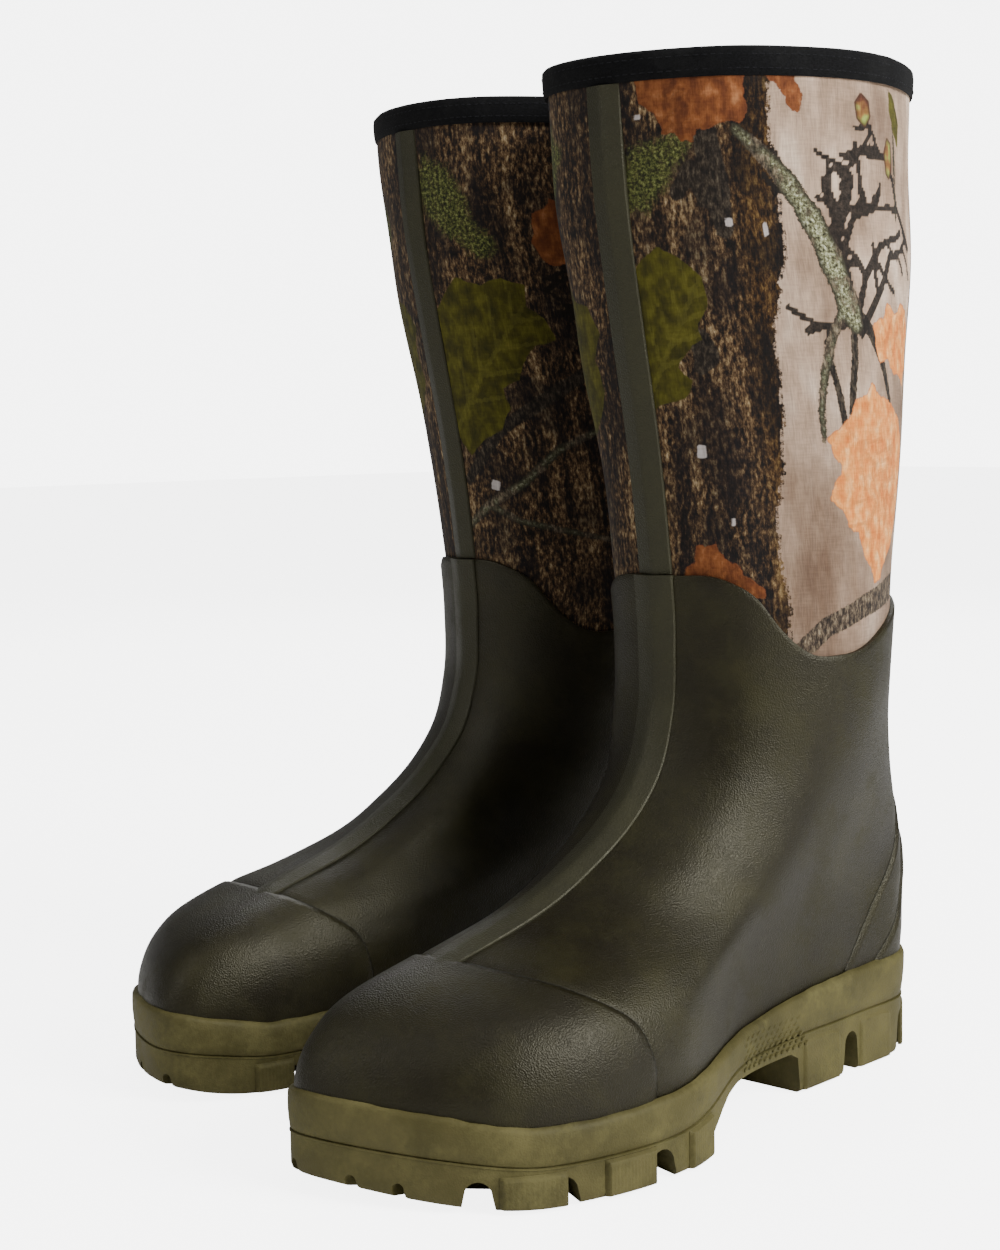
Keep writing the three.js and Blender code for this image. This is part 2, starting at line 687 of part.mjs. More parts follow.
function bootPieces() {
  const rubber = rubberShells();
  const neoprene = neopreneFoot();
  const cover = overlays();
  const ridge = frontRidge();
  const slot = shankPlate(fitGap);
  return [
    ['outsole', groundedOutsole(), finishes.soleRubber],
    ['sidewall_rand', sidewallRand(), finishes.soleRubber],
    ['midsole_foam', midsoleFoam().subtract(slot), finishes.foam],
    ['shank', shankPlate(0), finishes.steel],
    ['insole_board', insoleBoard().subtract(slot), finishes.board],
    ['footbed', footbed(), finishes.blackNeoprene],
    ['lining_sock', liningSock(), finishes.lining],
    ['neoprene_foot', neoprene.foot, finishes.blackNeoprene],
    ['ankle_flex_neoprene', neoprene.flex, finishes.blackNeoprene],
    ['shaft_panel_outer', shaftPanel(1), finishes.printedNeoprene],
    ['shaft_panel_inner', shaftPanel(-1), finishes.printedNeoprene],
    ['rubber_foot_shell', rubber.foot, finishes.upperRubber],
    ['ankle_flex_rubber', rubber.flex, finishes.upperRubber],
    ['rubber_leg_shell', rubber.leg, finishes.upperRubber],
    ['toe_cap', cover.toe, finishes.upperRubber],
    ['heel_counter', cover.heel, finishes.upperRubber],
    ['kick_spur', kickSpur(), finishes.upperRubber],
    ['front_ridge_foot', ridge.foot, finishes.upperRubber],
    ['front_ridge_leg', ridge.leg, finishes.upperRubber],
    ['front_strip', frontStrip(), finishes.upperRubber],
    ['rear_seam_tape', backTape(), finishes.blackNeoprene],
    ['top_binding', topBinding(), finishes.binding],
  ];
}

// The mirrored boot needs its triangles turned round to keep facing out.
function mirrored(geometry) {
  const copy = geometry.clone();
  copy.scale(-1, 1, 1);
  const index = copy.index.array;
  for (let i = 0; i < index.length; i += 3) [index[i + 1], index[i + 2]] = [index[i + 2], index[i + 1]];
  copy.computeVertexNormals();
  return copy;
}

const pair = new THREE.Group();
const left = new THREE.Group();
const right = new THREE.Group();
for (const [name, solid, makeMaterial] of bootPieces()) {
  const geometry = geometryFromSolid(solid);
  const leftMesh = new THREE.Mesh(geometry, makeMaterial());
  leftMesh.name = `left_${name}`;
  left.add(leftMesh);
  const rightMesh = new THREE.Mesh(mirrored(geometry), makeMaterial());
  rightMesh.name = `right_${name}`;
  right.add(rightMesh);
}
left.rotation.z = THREE.MathUtils.degToRad(toeOut);
left.position.set(pairSpacing / 2, 0, 0);
right.rotation.z = THREE.MathUtils.degToRad(-toeOut);
right.position.set(-pairSpacing / 2, pairStagger, 0);
pair.add(left, right);

// Bring the pair's box centre over the origin and its lowest point to the ground.
pair.updateMatrixWorld(true);
const box = new THREE.Box3().setFromObject(pair, true);
const middle = box.getCenter(new THREE.Vector3());
pair.position.set(-middle.x, -middle.y, -box.min.z);
pair.updateMatrixWorld(true);

export default pair;
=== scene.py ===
"""A pair of insulated field boots: rubber uppers, printed neoprene legs, lugged khaki soles.

Lengths in this file are millimetres in each boot's own frame, a left boot with its toe
toward -Y; place() turns them into metres in the shared frame.
"""

import json
import math
import random

import bpy
import numpy as np
from mathutils import Matrix, Vector


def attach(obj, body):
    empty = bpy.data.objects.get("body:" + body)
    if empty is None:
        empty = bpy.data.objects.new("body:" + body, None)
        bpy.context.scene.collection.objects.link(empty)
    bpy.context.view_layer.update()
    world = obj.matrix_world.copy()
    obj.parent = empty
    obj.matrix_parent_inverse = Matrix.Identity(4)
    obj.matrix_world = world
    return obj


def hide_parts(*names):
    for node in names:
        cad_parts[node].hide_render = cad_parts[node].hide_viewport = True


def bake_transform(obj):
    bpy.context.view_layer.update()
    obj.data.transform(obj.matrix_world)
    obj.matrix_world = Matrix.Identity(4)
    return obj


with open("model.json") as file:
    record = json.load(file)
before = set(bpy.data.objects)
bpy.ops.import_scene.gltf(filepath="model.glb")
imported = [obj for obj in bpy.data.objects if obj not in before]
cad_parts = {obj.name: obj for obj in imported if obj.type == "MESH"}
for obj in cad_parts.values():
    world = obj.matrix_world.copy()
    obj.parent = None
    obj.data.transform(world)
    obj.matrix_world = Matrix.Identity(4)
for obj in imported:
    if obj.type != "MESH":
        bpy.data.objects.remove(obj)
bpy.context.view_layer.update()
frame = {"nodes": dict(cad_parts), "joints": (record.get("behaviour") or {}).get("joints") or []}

# ---- Sizes shared with the CAD part -------------------------------------------------------

BOOT_HEIGHT = 400
SOLE_FRONT, HEEL_BACK = -160, 150
RUBBER_WALL = 2.0
NEOPRENE_OUT, NEOPRENE_IN = -2.3, -7.3
LINING_OUT, LINING_IN = -7.6, -8.6
SOLE_PROUD = 3.4
BINDING_BOTTOM = 389
PIVOT = (0, 78, 100)
FRONT, BACK = 0.5, 0.0        # turns round the boot
STEP = 0.002                  # turn step for slopes
LEG_COLUMNS, LEG_ROWS = 420, 205
UPPER_COLUMNS = 480
SOLE_COLUMNS = 480
GROOVE_REACH = 22             # how far a lug groove runs in from the sole's edge
THREAD_RADIUS, DASH_RADIUS = 0.24, 0.62


def foot_level(z, set_back, heel_in, sizes, fullness, shift):
    heel, waist, ball = 35.5 + sizes[0], 36.5 + sizes[1], 51.5 + sizes[2]
    ends = (SOLE_FRONT + set_back, HEEL_BACK - heel_in)
    return (z, *ends, heel, waist, ball, *fullness, 8 * shift, -20 * shift)


def leg_level(z, share, front_lean, back_lean):
    half = (101 + 35 * share) / 2
    widths = (half * 0.8, half * 0.995, half * 0.933)
    return (z, 10 + front_lean, 130 + back_lean, *widths, 0.64, 0.643, 0, -4)


LEVELS = np.array([
    foot_level(20, 4.5, 5, (-1, 0, 0), (0.87, 0.8), 1),
    foot_level(40, 5, 3.5, (0, 0.5, 0.5), (0.87, 0.8), 1),
    foot_level(52, 12, 3, (0.5, 0.5, -0.8), (0.87, 0.8), 0.95),
    foot_level(61, 23, 3, (0.5, 1, -3.5), (0.86, 0.78), 0.9),
    foot_level(68, 41, 3.3, (0.5, 1.5, -6.5), (0.85, 0.75), 0.75),
    foot_level(75, 66, 4, (0.7, 2, -10), (0.84, 0.72), 0.6),
    foot_level(84, 96, 5, (1, 3.5, -12), (0.8, 0.69), 0.45),
    foot_level(100, 129, 9, (2, 6, -10.5), (0.74, 0.67), 0.3),
    foot_level(125, 159, 17, (4, 10, -8), (0.68, 0.65), 0.2),
    leg_level(150, 0, 0, 0),
    leg_level(180, 0.06, 1.5, 2.5),
    leg_level(215, 0.17, -1.5, 5),
    leg_level(260, 0.42, -8, 7.5),
    leg_level(300, 0.68, -15.95, 8),
    leg_level(350, 0.92, -24.94, 6),
    leg_level(400, 1, -29, 4),
], float)
# y: ground, parting line, deck, top of the sole's side
SOLE_ROWS = np.array([
    (-160, 7, 21, 26, 37),
    (-142, 2.5, 18, 24, 33),
    (-114, 0, 14.5, 22, 28),
    (-70, 0, 14.5, 22, 29),
    (0, 0, 21.5, 28, 33.5),
    (60, 0, 23.5, 30, 40),
    (150, 0, 23.5, 30, 43),
], float)
FIELDS = {"ground": 1, "parting": 2, "deck": 3, "rand": 4}
# angle round the leg from the front: top edge of the rubber
RUBBER_EDGE = np.array([
    (0, 205), (26, 203), (38, 196), (47, 185), (58, 176), (80, 173), (115, 181),
    (150, 192), (180, 200),
], float)


# ---- The boot's surface -------------------------------------------------------------------

def smooth(keys, values, at):
    """Smooth curve through a table, with flat tops where it turns."""
    at = np.clip(np.asarray(at, float), keys[0], keys[-1])
    run = np.diff(keys)
    slope = np.diff(values) / run
    tangent = np.zeros(len(keys))
    tangent[0], tangent[-1] = slope[0], slope[-1]
    for i in range(1, len(keys) - 1):
        if slope[i - 1] * slope[i] > 0:
            tangent[i] = (slope[i - 1] * run[i] + slope[i] * run[i - 1]) / (run[i - 1] + run[i])
    i = np.clip(np.searchsorted(keys, at, side="left") - 1, 0, len(keys) - 2)
    t = (at - keys[i]) / run[i]
    t2, t3 = t * t, t * t * t
    low = (2 * t3 - 3 * t2 + 1) * values[i] + (t3 - 2 * t2 + t) * run[i] * tangent[i]
    high = (3 * t2 - 2 * t3) * values[i + 1] + (t3 - t2) * run[i] * tangent[i + 1]
    return low + high


def surface(z, turn):
    """Outside of the rubber at heights z and turns 0..1 round the boot, heel first."""
    z, turn = np.broadcast_arrays(np.asarray(z, float), np.asarray(turn, float))
    columns = [smooth(LEVELS[:, 0], LEVELS[:, k], z) for k in range(1, 10)]
    front, back, heel, waist, ball, full, blunt, ball_shift, toe_shift = columns
    end_shift = ball_shift * 0.7 + toe_shift * 0.3

    def along(share):
        return back - share * (back - front)

    def side(sign):
        return [
            (sign * full * heel, along(0.07)),
            (sign * heel, along(0.2)),
            (sign * waist + ball_shift * 0.25, along(0.45)),
            (sign * ball + ball_shift, along(0.68)),
            (sign * blunt * ball + end_shift, along(0.9 if sign > 0 else 0.93)),
        ]

    outline = [(0 * z, back), *side(1), (toe_shift, front), *side(-1)[::-1]]
    place12 = (turn % 1) * 12
    first = np.floor(place12).astype(int) % 12
    t = place12 - np.floor(place12)
    found = []
    for axis in (0, 1):
        stack = np.array([p[axis] + 0 * z for p in outline])

        def pick(k):
            return np.take_along_axis(stack, ((first + k) % 12)[None], 0)[0]

        a, b, c, d = pick(-1), pick(0), pick(1), pick(2)
        curve = 2 * b + (c - a) * t + (2 * a - 5 * b + 4 * c - d) * t**2
        found.append(0.5 * (curve + (3 * b - a - 3 * c + d) * t**3))
    return np.stack([found[0], found[1], z], -1)


def unit(v):
    return v / np.maximum(np.linalg.norm(v, axis=-1, keepdims=True), 1e-9)


def outward(z, turn):
    along = surface(z, turn + STEP) - surface(z, turn - STEP)
    up = surface(z + 0.25, turn) - surface(z - 0.25, turn)
    return unit(np.cross(up, along))


def skin(z, turn, depth):
    """Points moved outward from the surface by depth."""
    z, turn, depth = np.broadcast_arrays(*(np.asarray(v, float) for v in (z, turn, depth)))
    return surface(z, turn) + outward(z, turn) * depth[..., None]


def height_at(y, field):
    return smooth(SOLE_ROWS[:, 0], SOLE_ROWS[:, FIELDS[field]], y)


def crossing(field, turn, lift=0.0):
    """Height at which a toe-to-heel profile meets the surface."""
    z = np.full(np.shape(turn), 30.0)
    for _ in range(6):
        z = height_at(surface(z, turn)[..., 1], field) + lift
    return z


def plan_ring(depth, field, lift, turn):
    """A ring round the sole, offset level with the ground."""
    z = crossing(field, turn)
    normal = outward(z, turn)
    normal[..., 2] = 0
    point = surface(z, turn) + unit(normal) * depth
    point[..., 2] = height_at(point[..., 1], field) + lift
    return point


def level_ring(depth, z, turn):
    level = np.minimum(z, BOOT_HEIGHT - 0.5) + 0 * turn
    normal = outward(level, turn)
    normal[..., 2] = 0
    point = surface(level, turn) + unit(normal) * np.asarray(depth)[..., None]
    point[..., 2] = z
    return point


def rubber_top(turn):
    at = surface(173.0, turn)
    angle = np.degrees(np.arctan2(np.abs(at[..., 0]), 70 - at[..., 1]))
    return smooth(RUBBER_EDGE[:, 0], RUBBER_EDGE[:, 1], angle)


def strip_turns(z, centre, distances):
    """Turns at true distances to either side of the front or back line, one row per height."""
    fine = np.linspace(-0.12, 0.12, 481)
    path = surface(z[:, None], centre + fine[None])
    run = np.linalg.norm(np.diff(path, axis=1), axis=2)
    run = np.concatenate([np.zeros((len(z), 1)), np.cumsum(run, 1)], 1)
    run -= run[:, 240:241]
    return np.array([centre + np.interp(distances, row, fine) for row in run])


def soft_step(x):
    t = np.clip(x * 0.5 + 0.5, 0, 1)
    return t * t * (3 - 2 * t)


def ripple(points, scale, seed):
    """Slow, seeded unevenness, about -1..1."""
    rng = np.random.default_rng(seed)
    total = np.zeros(points.shape[:-1])
    for _ in range(7):
        way = rng.normal(size=3)
        way /= np.linalg.norm(way)
        pace = rng.uniform(0.6, 1.6) / scale
        total += np.sin(points @ way * pace * 2 * math.pi + rng.uniform(0, 6.28))
    return total / 3.5


# ---- Meshes -------------------------------------------------------------------------------

def ring_faces(rings, count, loop):
    base = np.arange(count)
    after = (base + 1) % count
    faces = []
    for r in range(rings if loop else rings - 1):
        low, high = r * count, ((r + 1) % rings) * count
        faces.append(np.stack([low + base, low + after, high + after, high + base], 1))
    return np.concatenate(faces)


def tube(rings, loop=True):
    """Rings of points as one skin. Loop joins the last ring to the first."""
    rings = np.array(rings)
    return rings.reshape(-1, 3), ring_faces(len(rings), rings.shape[1], loop).tolist()


def capped(rings):
    """Rings closed at both ends by strips across them."""
    points, faces = tube(rings, loop=False)
    count = np.array(rings).shape[1]
    for start, flip in ((0, True), ((len(rings) - 1) * count, False)):
        for k in range(count // 2):
            corners = [k, k + 1, (count - k - 1) % count, (count - k) % count]
            face = list(dict.fromkeys(start + c for c in corners))
            faces.append(face[::-1] if flip else face)
    return points, faces


def slab(outer, inner):
    """Closed slab between two grids of points with the same rows and columns."""
    rows, columns = outer.shape[:2]
    rings = np.concatenate([outer, inner[:, ::-1]], 1)
    points, faces = tube(rings, loop=False)
    count = columns * 2
    for start, flip in ((0, True), ((rows - 1) * count, False)):
        for k in range(columns - 1):
            face = [start + k, start + k + 1, start + count - k - 2, start + count - k - 1]
            faces.append(face[::-1] if flip else face)
    return points, faces


def facing_out(shape):
    """The shape with its faces turned so that they look outward."""
    points, faces = np.asarray(shape[0], float), shape[1]
    volume = 0.0
    for size in {len(face) for face in faces}:
        index = np.array([face for face in faces if len(face) == size])
        first = points[index[:, 0]]
        for k in range(1, size - 1):
            span = np.cross(points[index[:, k]], points[index[:, k + 1]])
            volume += (first * span).sum()
    return points, faces if volume > 0 else [face[::-1] for face in faces]


def joined(parts):
    points, faces, start = [], [], 0
    for p, f in map(facing_out, parts):
        points.append(np.asarray(p, float).reshape(-1, 3))
        faces.extend([[i + start for i in face] for face in f])
        start += len(points[-1])
    return np.concatenate(points), faces


# ---- Both boots ---------------------------------------------------------------------------

BOOTS = {}  # side: (mirror, turn about Z, place of the frame's zero), from the ankle joints
for joint in frame["joints"]:
    if joint["name"].endswith("_ankle"):
        side = joint["name"].split("_")[0]
        way = 1 if side == "left" else -1
        axis = joint["axis"]
        turned = math.atan2(axis[1], axis[0])
        spin = np.array([
            [math.cos(turned), -math.sin(turned), 0],
            [math.sin(turned), math.cos(turned), 0],
            [0, 0, 1],
        ])
        centre = np.array(joint["pos_m"]) - spin @ (np.array(PIVOT) / 1000 * (way, 1, 1))
        BOOTS[side] = (way, spin, centre)


def place(points, side):
    way, spin, centre = BOOTS[side]
    return (np.asarray(points, float) * (way, 1, 1) / 1000) @ spin.T + centre


def add(name, shape, finish, body, stands_for, fields=None, crease=42):
    """Makes the piece for both boots and ties it to its body. Body is foot, leg or both."""
    points, faces = facing_out(shape)
    for side, (way, _, _) in BOOTS.items():
        mesh = bpy.data.meshes.new(f"{side}_{name}")
        ordered = faces if way > 0 else [face[::-1] for face in faces]
        mesh.from_pydata(place(points, side).tolist(), [], ordered)
        mesh.polygons.foreach_set("use_smooth", np.ones(len(mesh.polygons), bool))
        mesh.set_sharp_from_angle(angle=math.radians(crease))
        own = fields(side) if callable(fields) else fields or {}
        for key, values in {"spot": points, **own}.items():
            values = np.asarray(values, np.float32)
            kind = "FLOAT_VECTOR" if values.ndim == 2 else "FLOAT"
            layer = mesh.attributes.new(key, kind, "POINT")
            layer.data.foreach_set("vector" if values.ndim == 2 else "value", values.ravel())
        mesh.materials.append(finish)
        obj = bpy.data.objects.new(f"{side}_{name}_finished", mesh)
        bpy.context.scene.collection.objects.link(obj)
        if body == "both":
            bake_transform(obj)
        else:
            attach(obj, f"{side}_{body}")
        if stands_for:
            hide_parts(*(f"{side}_{node}" for node in stands_for))


# ---- Rubber upper -------------------------------------------------------------------------

def line_distance(points, line, ahead):
    """Signed side-view distance to a line given as (z, y) rows. Positive toward ahead * -Y."""
    line = np.array(line, float)
    z = np.linspace(line[0, 0], line[-1, 0], 160)
    y = smooth(line[:, 0], line[:, 1], z)
    flat = points.reshape(-1, 3)
    best = np.full(len(flat), 1e9)
    for a in range(len(z)):
        best = np.minimum(best, (flat[:, 1] - y[a]) ** 2 + (flat[:, 2] - z[a]) ** 2)
    sign = np.sign(np.interp(flat[:, 2], z, y) - flat[:, 1]) * ahead
    return (np.sqrt(best) * sign).reshape(points.shape[:-1])


TOE_LINE = [(20, -70), (45, -71), (58, -77), (66, -88), (76, -104), (110, -108)]
HEEL_LINES = (
    [(30, 76), (37, 80), (62, 100), (85, 120), (118.6, 130), (132, 139), (140, 156)],
    [(30, 97), (37, 100), (56, 120), (90, 130), (108, 139), (118, 158)],
)


def front_stations(low, high, count):
    """Heights evenly spaced along the slope of the instep, between low and high."""
    z = np.linspace(low, high, 1200)
    path = surface(z, FRONT)
    run = np.concatenate([[0], np.cumsum(np.linalg.norm(np.diff(path, axis=0), axis=1))])
    return np.interp(np.linspace(0, run[-1], count), run, z)


def rubber_upper():
    turn = np.arange(UPPER_COLUMNS) / UPPER_COLUMNS
    low, high = crossing("rand", turn, -5.0), rubber_top(turn)
    station = front_stations(32, 205, 185)
    share = (station - station[0]) / (station[-1] - station[0])
    z = low + (high - low) * share[:, None]
    base = surface(z, turn[None])
    toe = line_distance(base, TOE_LINE, 1)
    heels = [line_distance(base, line, -1) for line in HEEL_LINES]
    depth = 1.1 * soft_step(toe / 1.1) - 0.35 * np.exp(-((toe + 1.6) ** 2) / 0.9)
    for heel in heels:
        depth += 0.8 * soft_step(heel / 1.0) - 0.4 * np.exp(-((heel + 1.5) ** 2) / 0.8)
    depth += 0.22 * ripple(base, 55, 4)
    edge = np.clip((high - z) / 1.4, 0, 1)
    depth = depth - 0.5 * (1 - edge) ** 2
    outer = skin(z, turn[None], depth)
    marks = [np.stack([toe, *heels], -1)]
    inner_share = np.linspace(1, 0, 22)[:, None]
    z_in = low + (high - low) * inner_share
    inner = skin(z_in, turn[None], -RUBBER_WALL + 0 * z_in)
    marks.append(np.full((*z_in.shape, 3), -60.0))
    shape = tube(np.concatenate([outer, inner]))
    return shape, np.concatenate(marks).reshape(-1, 3)


ROOF = [(-1, -0.5), (-0.985, 0.5), (-0.93, 1.0), (-0.6, 1.55), (-0.3, 2.1), (-0.06, 2.45),
        (0.06, 2.45), (0.3, 2.1), (0.6, 1.55), (0.93, 1.0), (0.985, 0.5), (1, -0.5)]


def roofed_strip(z, centre, widths, base, profile, rise):
    """A long strip with a given section: profile rows are (share of half width, height)."""
    offsets = np.array([p[0] for p in profile])
    turns = np.stack([
        strip_turns(z[i:i + 1], centre, offsets * widths[i] / 2)[0] for i in range(len(z))
    ])
    heights = np.array([p[1] for p in profile])[None] * rise[:, None]
    outer = skin(z[:, None], turns, base + heights)
    inner = skin(z[:, None], turns, base - 0.6 + 0 * heights)
    return slab(outer, inner)


def front_rib():
    z = front_stations(71.5, 205.3, 190)
    widths = np.interp(z, [71, 80, 150, 190, 205], [14, 16.5, 17, 18.5, 18.5])
    rise = np.interp(z, [71, 74, 80, 205], [0.12, 0.6, 0.95, 1.0])
    return roofed_strip(z, FRONT, widths, 0.0, ROOF, rise)


def front_strip():
    z = np.linspace(205.6, BINDING_BOTTOM - 0.2, 120)
    rise = np.ones(len(z))
    return roofed_strip(z, FRONT, 16 * rise, NEOPRENE_OUT, ROOF, rise * 1.05)


def rear_strip():
    band = [(-1, -0.4), (-0.97, 0.6), (-0.88, 1.0), (0, 1.25), (0.88, 1.0), (0.97, 0.6), (1, -0.4)]
    z = np.linspace(200.6, BINDING_BOTTOM - 0.2, 110)
    rise = np.ones(len(z))
    return roofed_strip(z, BACK, 14 * rise, NEOPRENE_OUT, band, rise)


def kick_ledge():
    z = np.linspace(65, 74.5, 14)
    across = np.linspace(-18, 18, 48)
    turns = strip_turns(z, BACK, across)
    ends = soft_step((17 - np.abs(across)) / 2.5)[None]
    body = np.clip(1 - np.abs((z - 69.6) / 4.4) ** 3, 0, 1)[:, None]
    ribs = 0.25 * np.cos(across / 2.2 * math.pi)[None] * body
    depth = 0.8 + (4.0 * body + ribs) * ends
    return slab(skin(z[:, None], turns, depth), skin(z[:, None], turns, 0.2 + 0 * depth))


# ---- Printed leg, lining, footbed, binding ------------------------------------------------

def printed_leg():
    turn = np.arange(LEG_COLUMNS) / LEG_COLUMNS
    low = rubber_top(turn) - 9
    share = np.linspace(0, 1, LEG_ROWS)[:, None]
    z = low + (BINDING_BOTTOM + 2 - low) * share
    base = surface(z, turn[None])
    depth = NEOPRENE_OUT + 0.5 * ripple(base, 90, 9)
    outer = skin(z, turn[None], depth)
    share_in = np.linspace(1, 0, 9)[:, None]
    z_in = low + (BINDING_BOTTOM + 2 - low) * share_in
    inner = skin(z_in, turn[None], NEOPRENE_IN + 0.35 + 0 * z_in)
    shape = tube(np.concatenate([outer, inner]))
    cloth = cloth_places(np.concatenate([z, z_in]), turn)
    return shape, cloth


def cloth_places(z, turn):
    """Distance along the cloth from the front seam, positive on the outer side, and height."""
    fine = np.linspace(0, 1, 721)
    levels = np.arange(155.0, 402.0, 5.0)
    path = surface(levels[:, None], fine[None])
    run = np.linalg.norm(np.diff(path, axis=1), axis=2)
    run = np.concatenate([np.zeros((len(levels), 1)), np.cumsum(run, 1)], 1)
    run = run[:, 360:361] - run
    column = np.array([np.interp(turn, fine, row) for row in run])
    place_z = np.clip((z - levels[0]) / 5.0, 0, len(levels) - 1.001)
    i = np.floor(place_z).astype(int)
    t = place_z - i
    k = np.broadcast_to(np.arange(len(turn)), z.shape)
    across = column[i, k] * (1 - t) + column[i + 1, k] * t
    return np.stack([across, z, 0 * z], -1).reshape(-1, 3)


def lining():
    turn = np.arange(240) / 240
    low = crossing("deck", turn, 0.4)
    share = np.linspace(0, 1, 110)[:, None]
    z = low + (BOOT_HEIGHT - 3 - low) * share
    outer = skin(z, turn[None], LINING_OUT + 0 * z)
    inner = skin(z[::-1], turn[None], LINING_IN + 0.25 * ripple(surface(z[::-1], turn), 60, 3))
    return tube(np.concatenate([outer, inner]))


def bootie():
    """The foam layer between rubber and lining, up to where the printed leg starts."""
    turn = np.arange(160) / 160
    low, high = crossing("deck", turn, 0.4), rubber_top(turn) - 9.6
    share = np.linspace(0, 1, 50)[:, None]
    z = low + (high - low) * share
    outer = skin(z, turn[None], NEOPRENE_OUT + 0 * z)
    inner = skin(z[::-1], turn[None], NEOPRENE_IN + 0 * z)
    return tube(np.concatenate([outer, inner]))


def footbed():
    turn = np.arange(200) / 200
    inset = LINING_IN - 0.9
    rings = [plan_ring(inset, "deck", 0.5, turn)]
    centre = rings[0].mean(0)
    for share, lift in ((1, 2.5), (0.985, 4.4), (0.95, 5.0), (0.8, 4.8), (0.55, 4.3), (0.3, 4.1)):
        ring = plan_ring(inset - 0.8, "deck", 0.5, turn)
        ring[:, :2] = centre[:2] + (ring[:, :2] - centre[:2]) * share
        heel = soft_step((ring[:, 1] - 15) / 55)
        cup = (2.6 * (share > 0.9) + 1.2) * heel
        ring[:, 2] = height_at(ring[:, 1], "deck") + 0.5 + lift + cup
        rings.append(ring)
    return capped(rings)


def top_binding():
    turn = np.arange(400) / 400
    outside, inside = -0.75, -10.6
    section = [
        (outside - 1.6, 389.6), (outside - 0.35, 389.0), (outside, 389.8), (outside + 0.25, 392.5),
        (outside + 0.3, 396), (outside, 398.6), (outside - 1.2, 399.8), (outside - 3.2, 400.0),
        (inside + 3.2, 400.0), (inside + 1.2, 399.8), (inside, 398.6), (inside - 0.2, 394),
        (inside, 389.6), (inside + 0.4, 389.0), (inside + 1.6, 389.6), (inside + 1.5, 397.0),
        (outside - 1.5, 397.0),
    ]
    rings = []
    for depth, z in section:
        ring = level_ring(depth + 0 * turn, z, turn)
        wave = 0.16 * ripple(ring, 14, 21)
        ring += outward(np.minimum(z, 399.0) + 0 * turn, turn) * wave[:, None]
        rings.append(ring)
    return tube(rings)


def capsule(start, end, radius):
    """A short rounded thread or bar."""
    start, end = np.array(start, float), np.array(end, float)
    way = unit(end - start)
    side = unit(np.cross(way, (0.3, 0.2, 1.0)))
    other = np.cross(way, side)
    angle = np.arange(6) / 6 * 2 * math.pi
    circle = np.cos(angle)[:, None] * side + np.sin(angle)[:, None] * other
    rings = []
    for share, wide in ((0, 0.35), (0.16, 0.9), (0.5, 1), (0.84, 0.9), (1, 0.35)):
        rings.append(start + (end - start) * share + circle * radius * wide)
    return capped(rings)


def seam_stitches():
    parts = []
    for z, depth in ((391.6, -0.62), (396.6, -0.58), (391.6, -10.75)):
        count = 168
        ends = (np.arange(count)[:, None] + np.array([0.16, 0.84])) / count
        ring = level_ring(depth + 0 * ends, z, ends)
        ring[..., 2] += 0.1 * ripple(ring, 9, 5)
        parts += [capsule(a, b, THREAD_RADIUS) for a, b in ring]
    return joined(parts)


# ---- Sole ---------------------------------------------------------------------------------

def sole_blank():
    turn = np.arange(SOLE_COLUMNS) / SOLE_COLUMNS
    rings = [
        plan_ring(SOLE_PROUD - 1.8, "ground", 0, turn),
        plan_ring(SOLE_PROUD - 0.6, "ground", 0.6, turn),
        plan_ring(SOLE_PROUD, "ground", 2.2, turn),
    ]
    top = plan_ring(SOLE_PROUD, "parting", -1.0, turn)
    low = rings[-1]
    for share in (0.35, 0.7):
        rings.append(low + (top - low) * share)
    rings += [
        top,
        plan_ring(SOLE_PROUD + 0.35, "parting", -0.75, turn),
        plan_ring(SOLE_PROUD + 0.35, "parting", -0.35, turn),
        plan_ring(SOLE_PROUD - 0.4, "parting", -0.1, turn),
    ]
    return capped(rings)


def notch(length, wide, tall, x, y, degrees):
    """A groove with a rounded roof, running out from x, y."""
    section = [(-wide / 2, -3), (wide / 2, -3)]
    half = wide * 0.36
    for k in range(9):
        angle = math.pi * k / 8
        section.append((half * math.cos(angle), tall - half + half * math.sin(angle)))
    spin = math.radians(degrees)
    points = []
    for run in (0, length):
        for across, z in section:
            points.append((
                x + run * math.cos(spin) - across * math.sin(spin),
                y + run * math.sin(spin) + across * math.cos(spin),
                z,
            ))
    return prism(points, len(section))


def prism(points, count):
    base = list(range(count))
    faces = [base[::-1], [i + count for i in base]]
    faces += [[k, (k + 1) % count, (k + 1) % count + count, k + count] for k in base]
    return points, faces


def cross_cut(section):
    points = [(x, y, z) for x in (-120, 120) for y, z in section]
    return prism(points, len(section))


def sole_edge(y, sign):
    turn = np.linspace(0, 0.5, 600) if sign > 0 else np.linspace(0.5, 1, 600)
    ring = plan_ring(SOLE_PROUD, "ground", 5, turn)
    return ring[np.argmin(np.abs(ring[:, 1] - y)), 0]


# x, y, width, height, degrees: grooves that run out through the toe
TOE_GROOVES = (
    (20, -116, 13.5, 11, 50), (8, -128, 6, 9, 80), (-5, -130, 6, 10, 90), (-22, -128, 6, 11, 106),
    (-40, -112, 11, 10, 140),
)
# y, width, degrees, height: grooves on both sides
SIDE_GROOVES = ((-64, 17, 14, 11.5), (-102, 15.5, 26, 10.5), (82, 12.5, 0, 17), (119, 13.5, -14, 17))


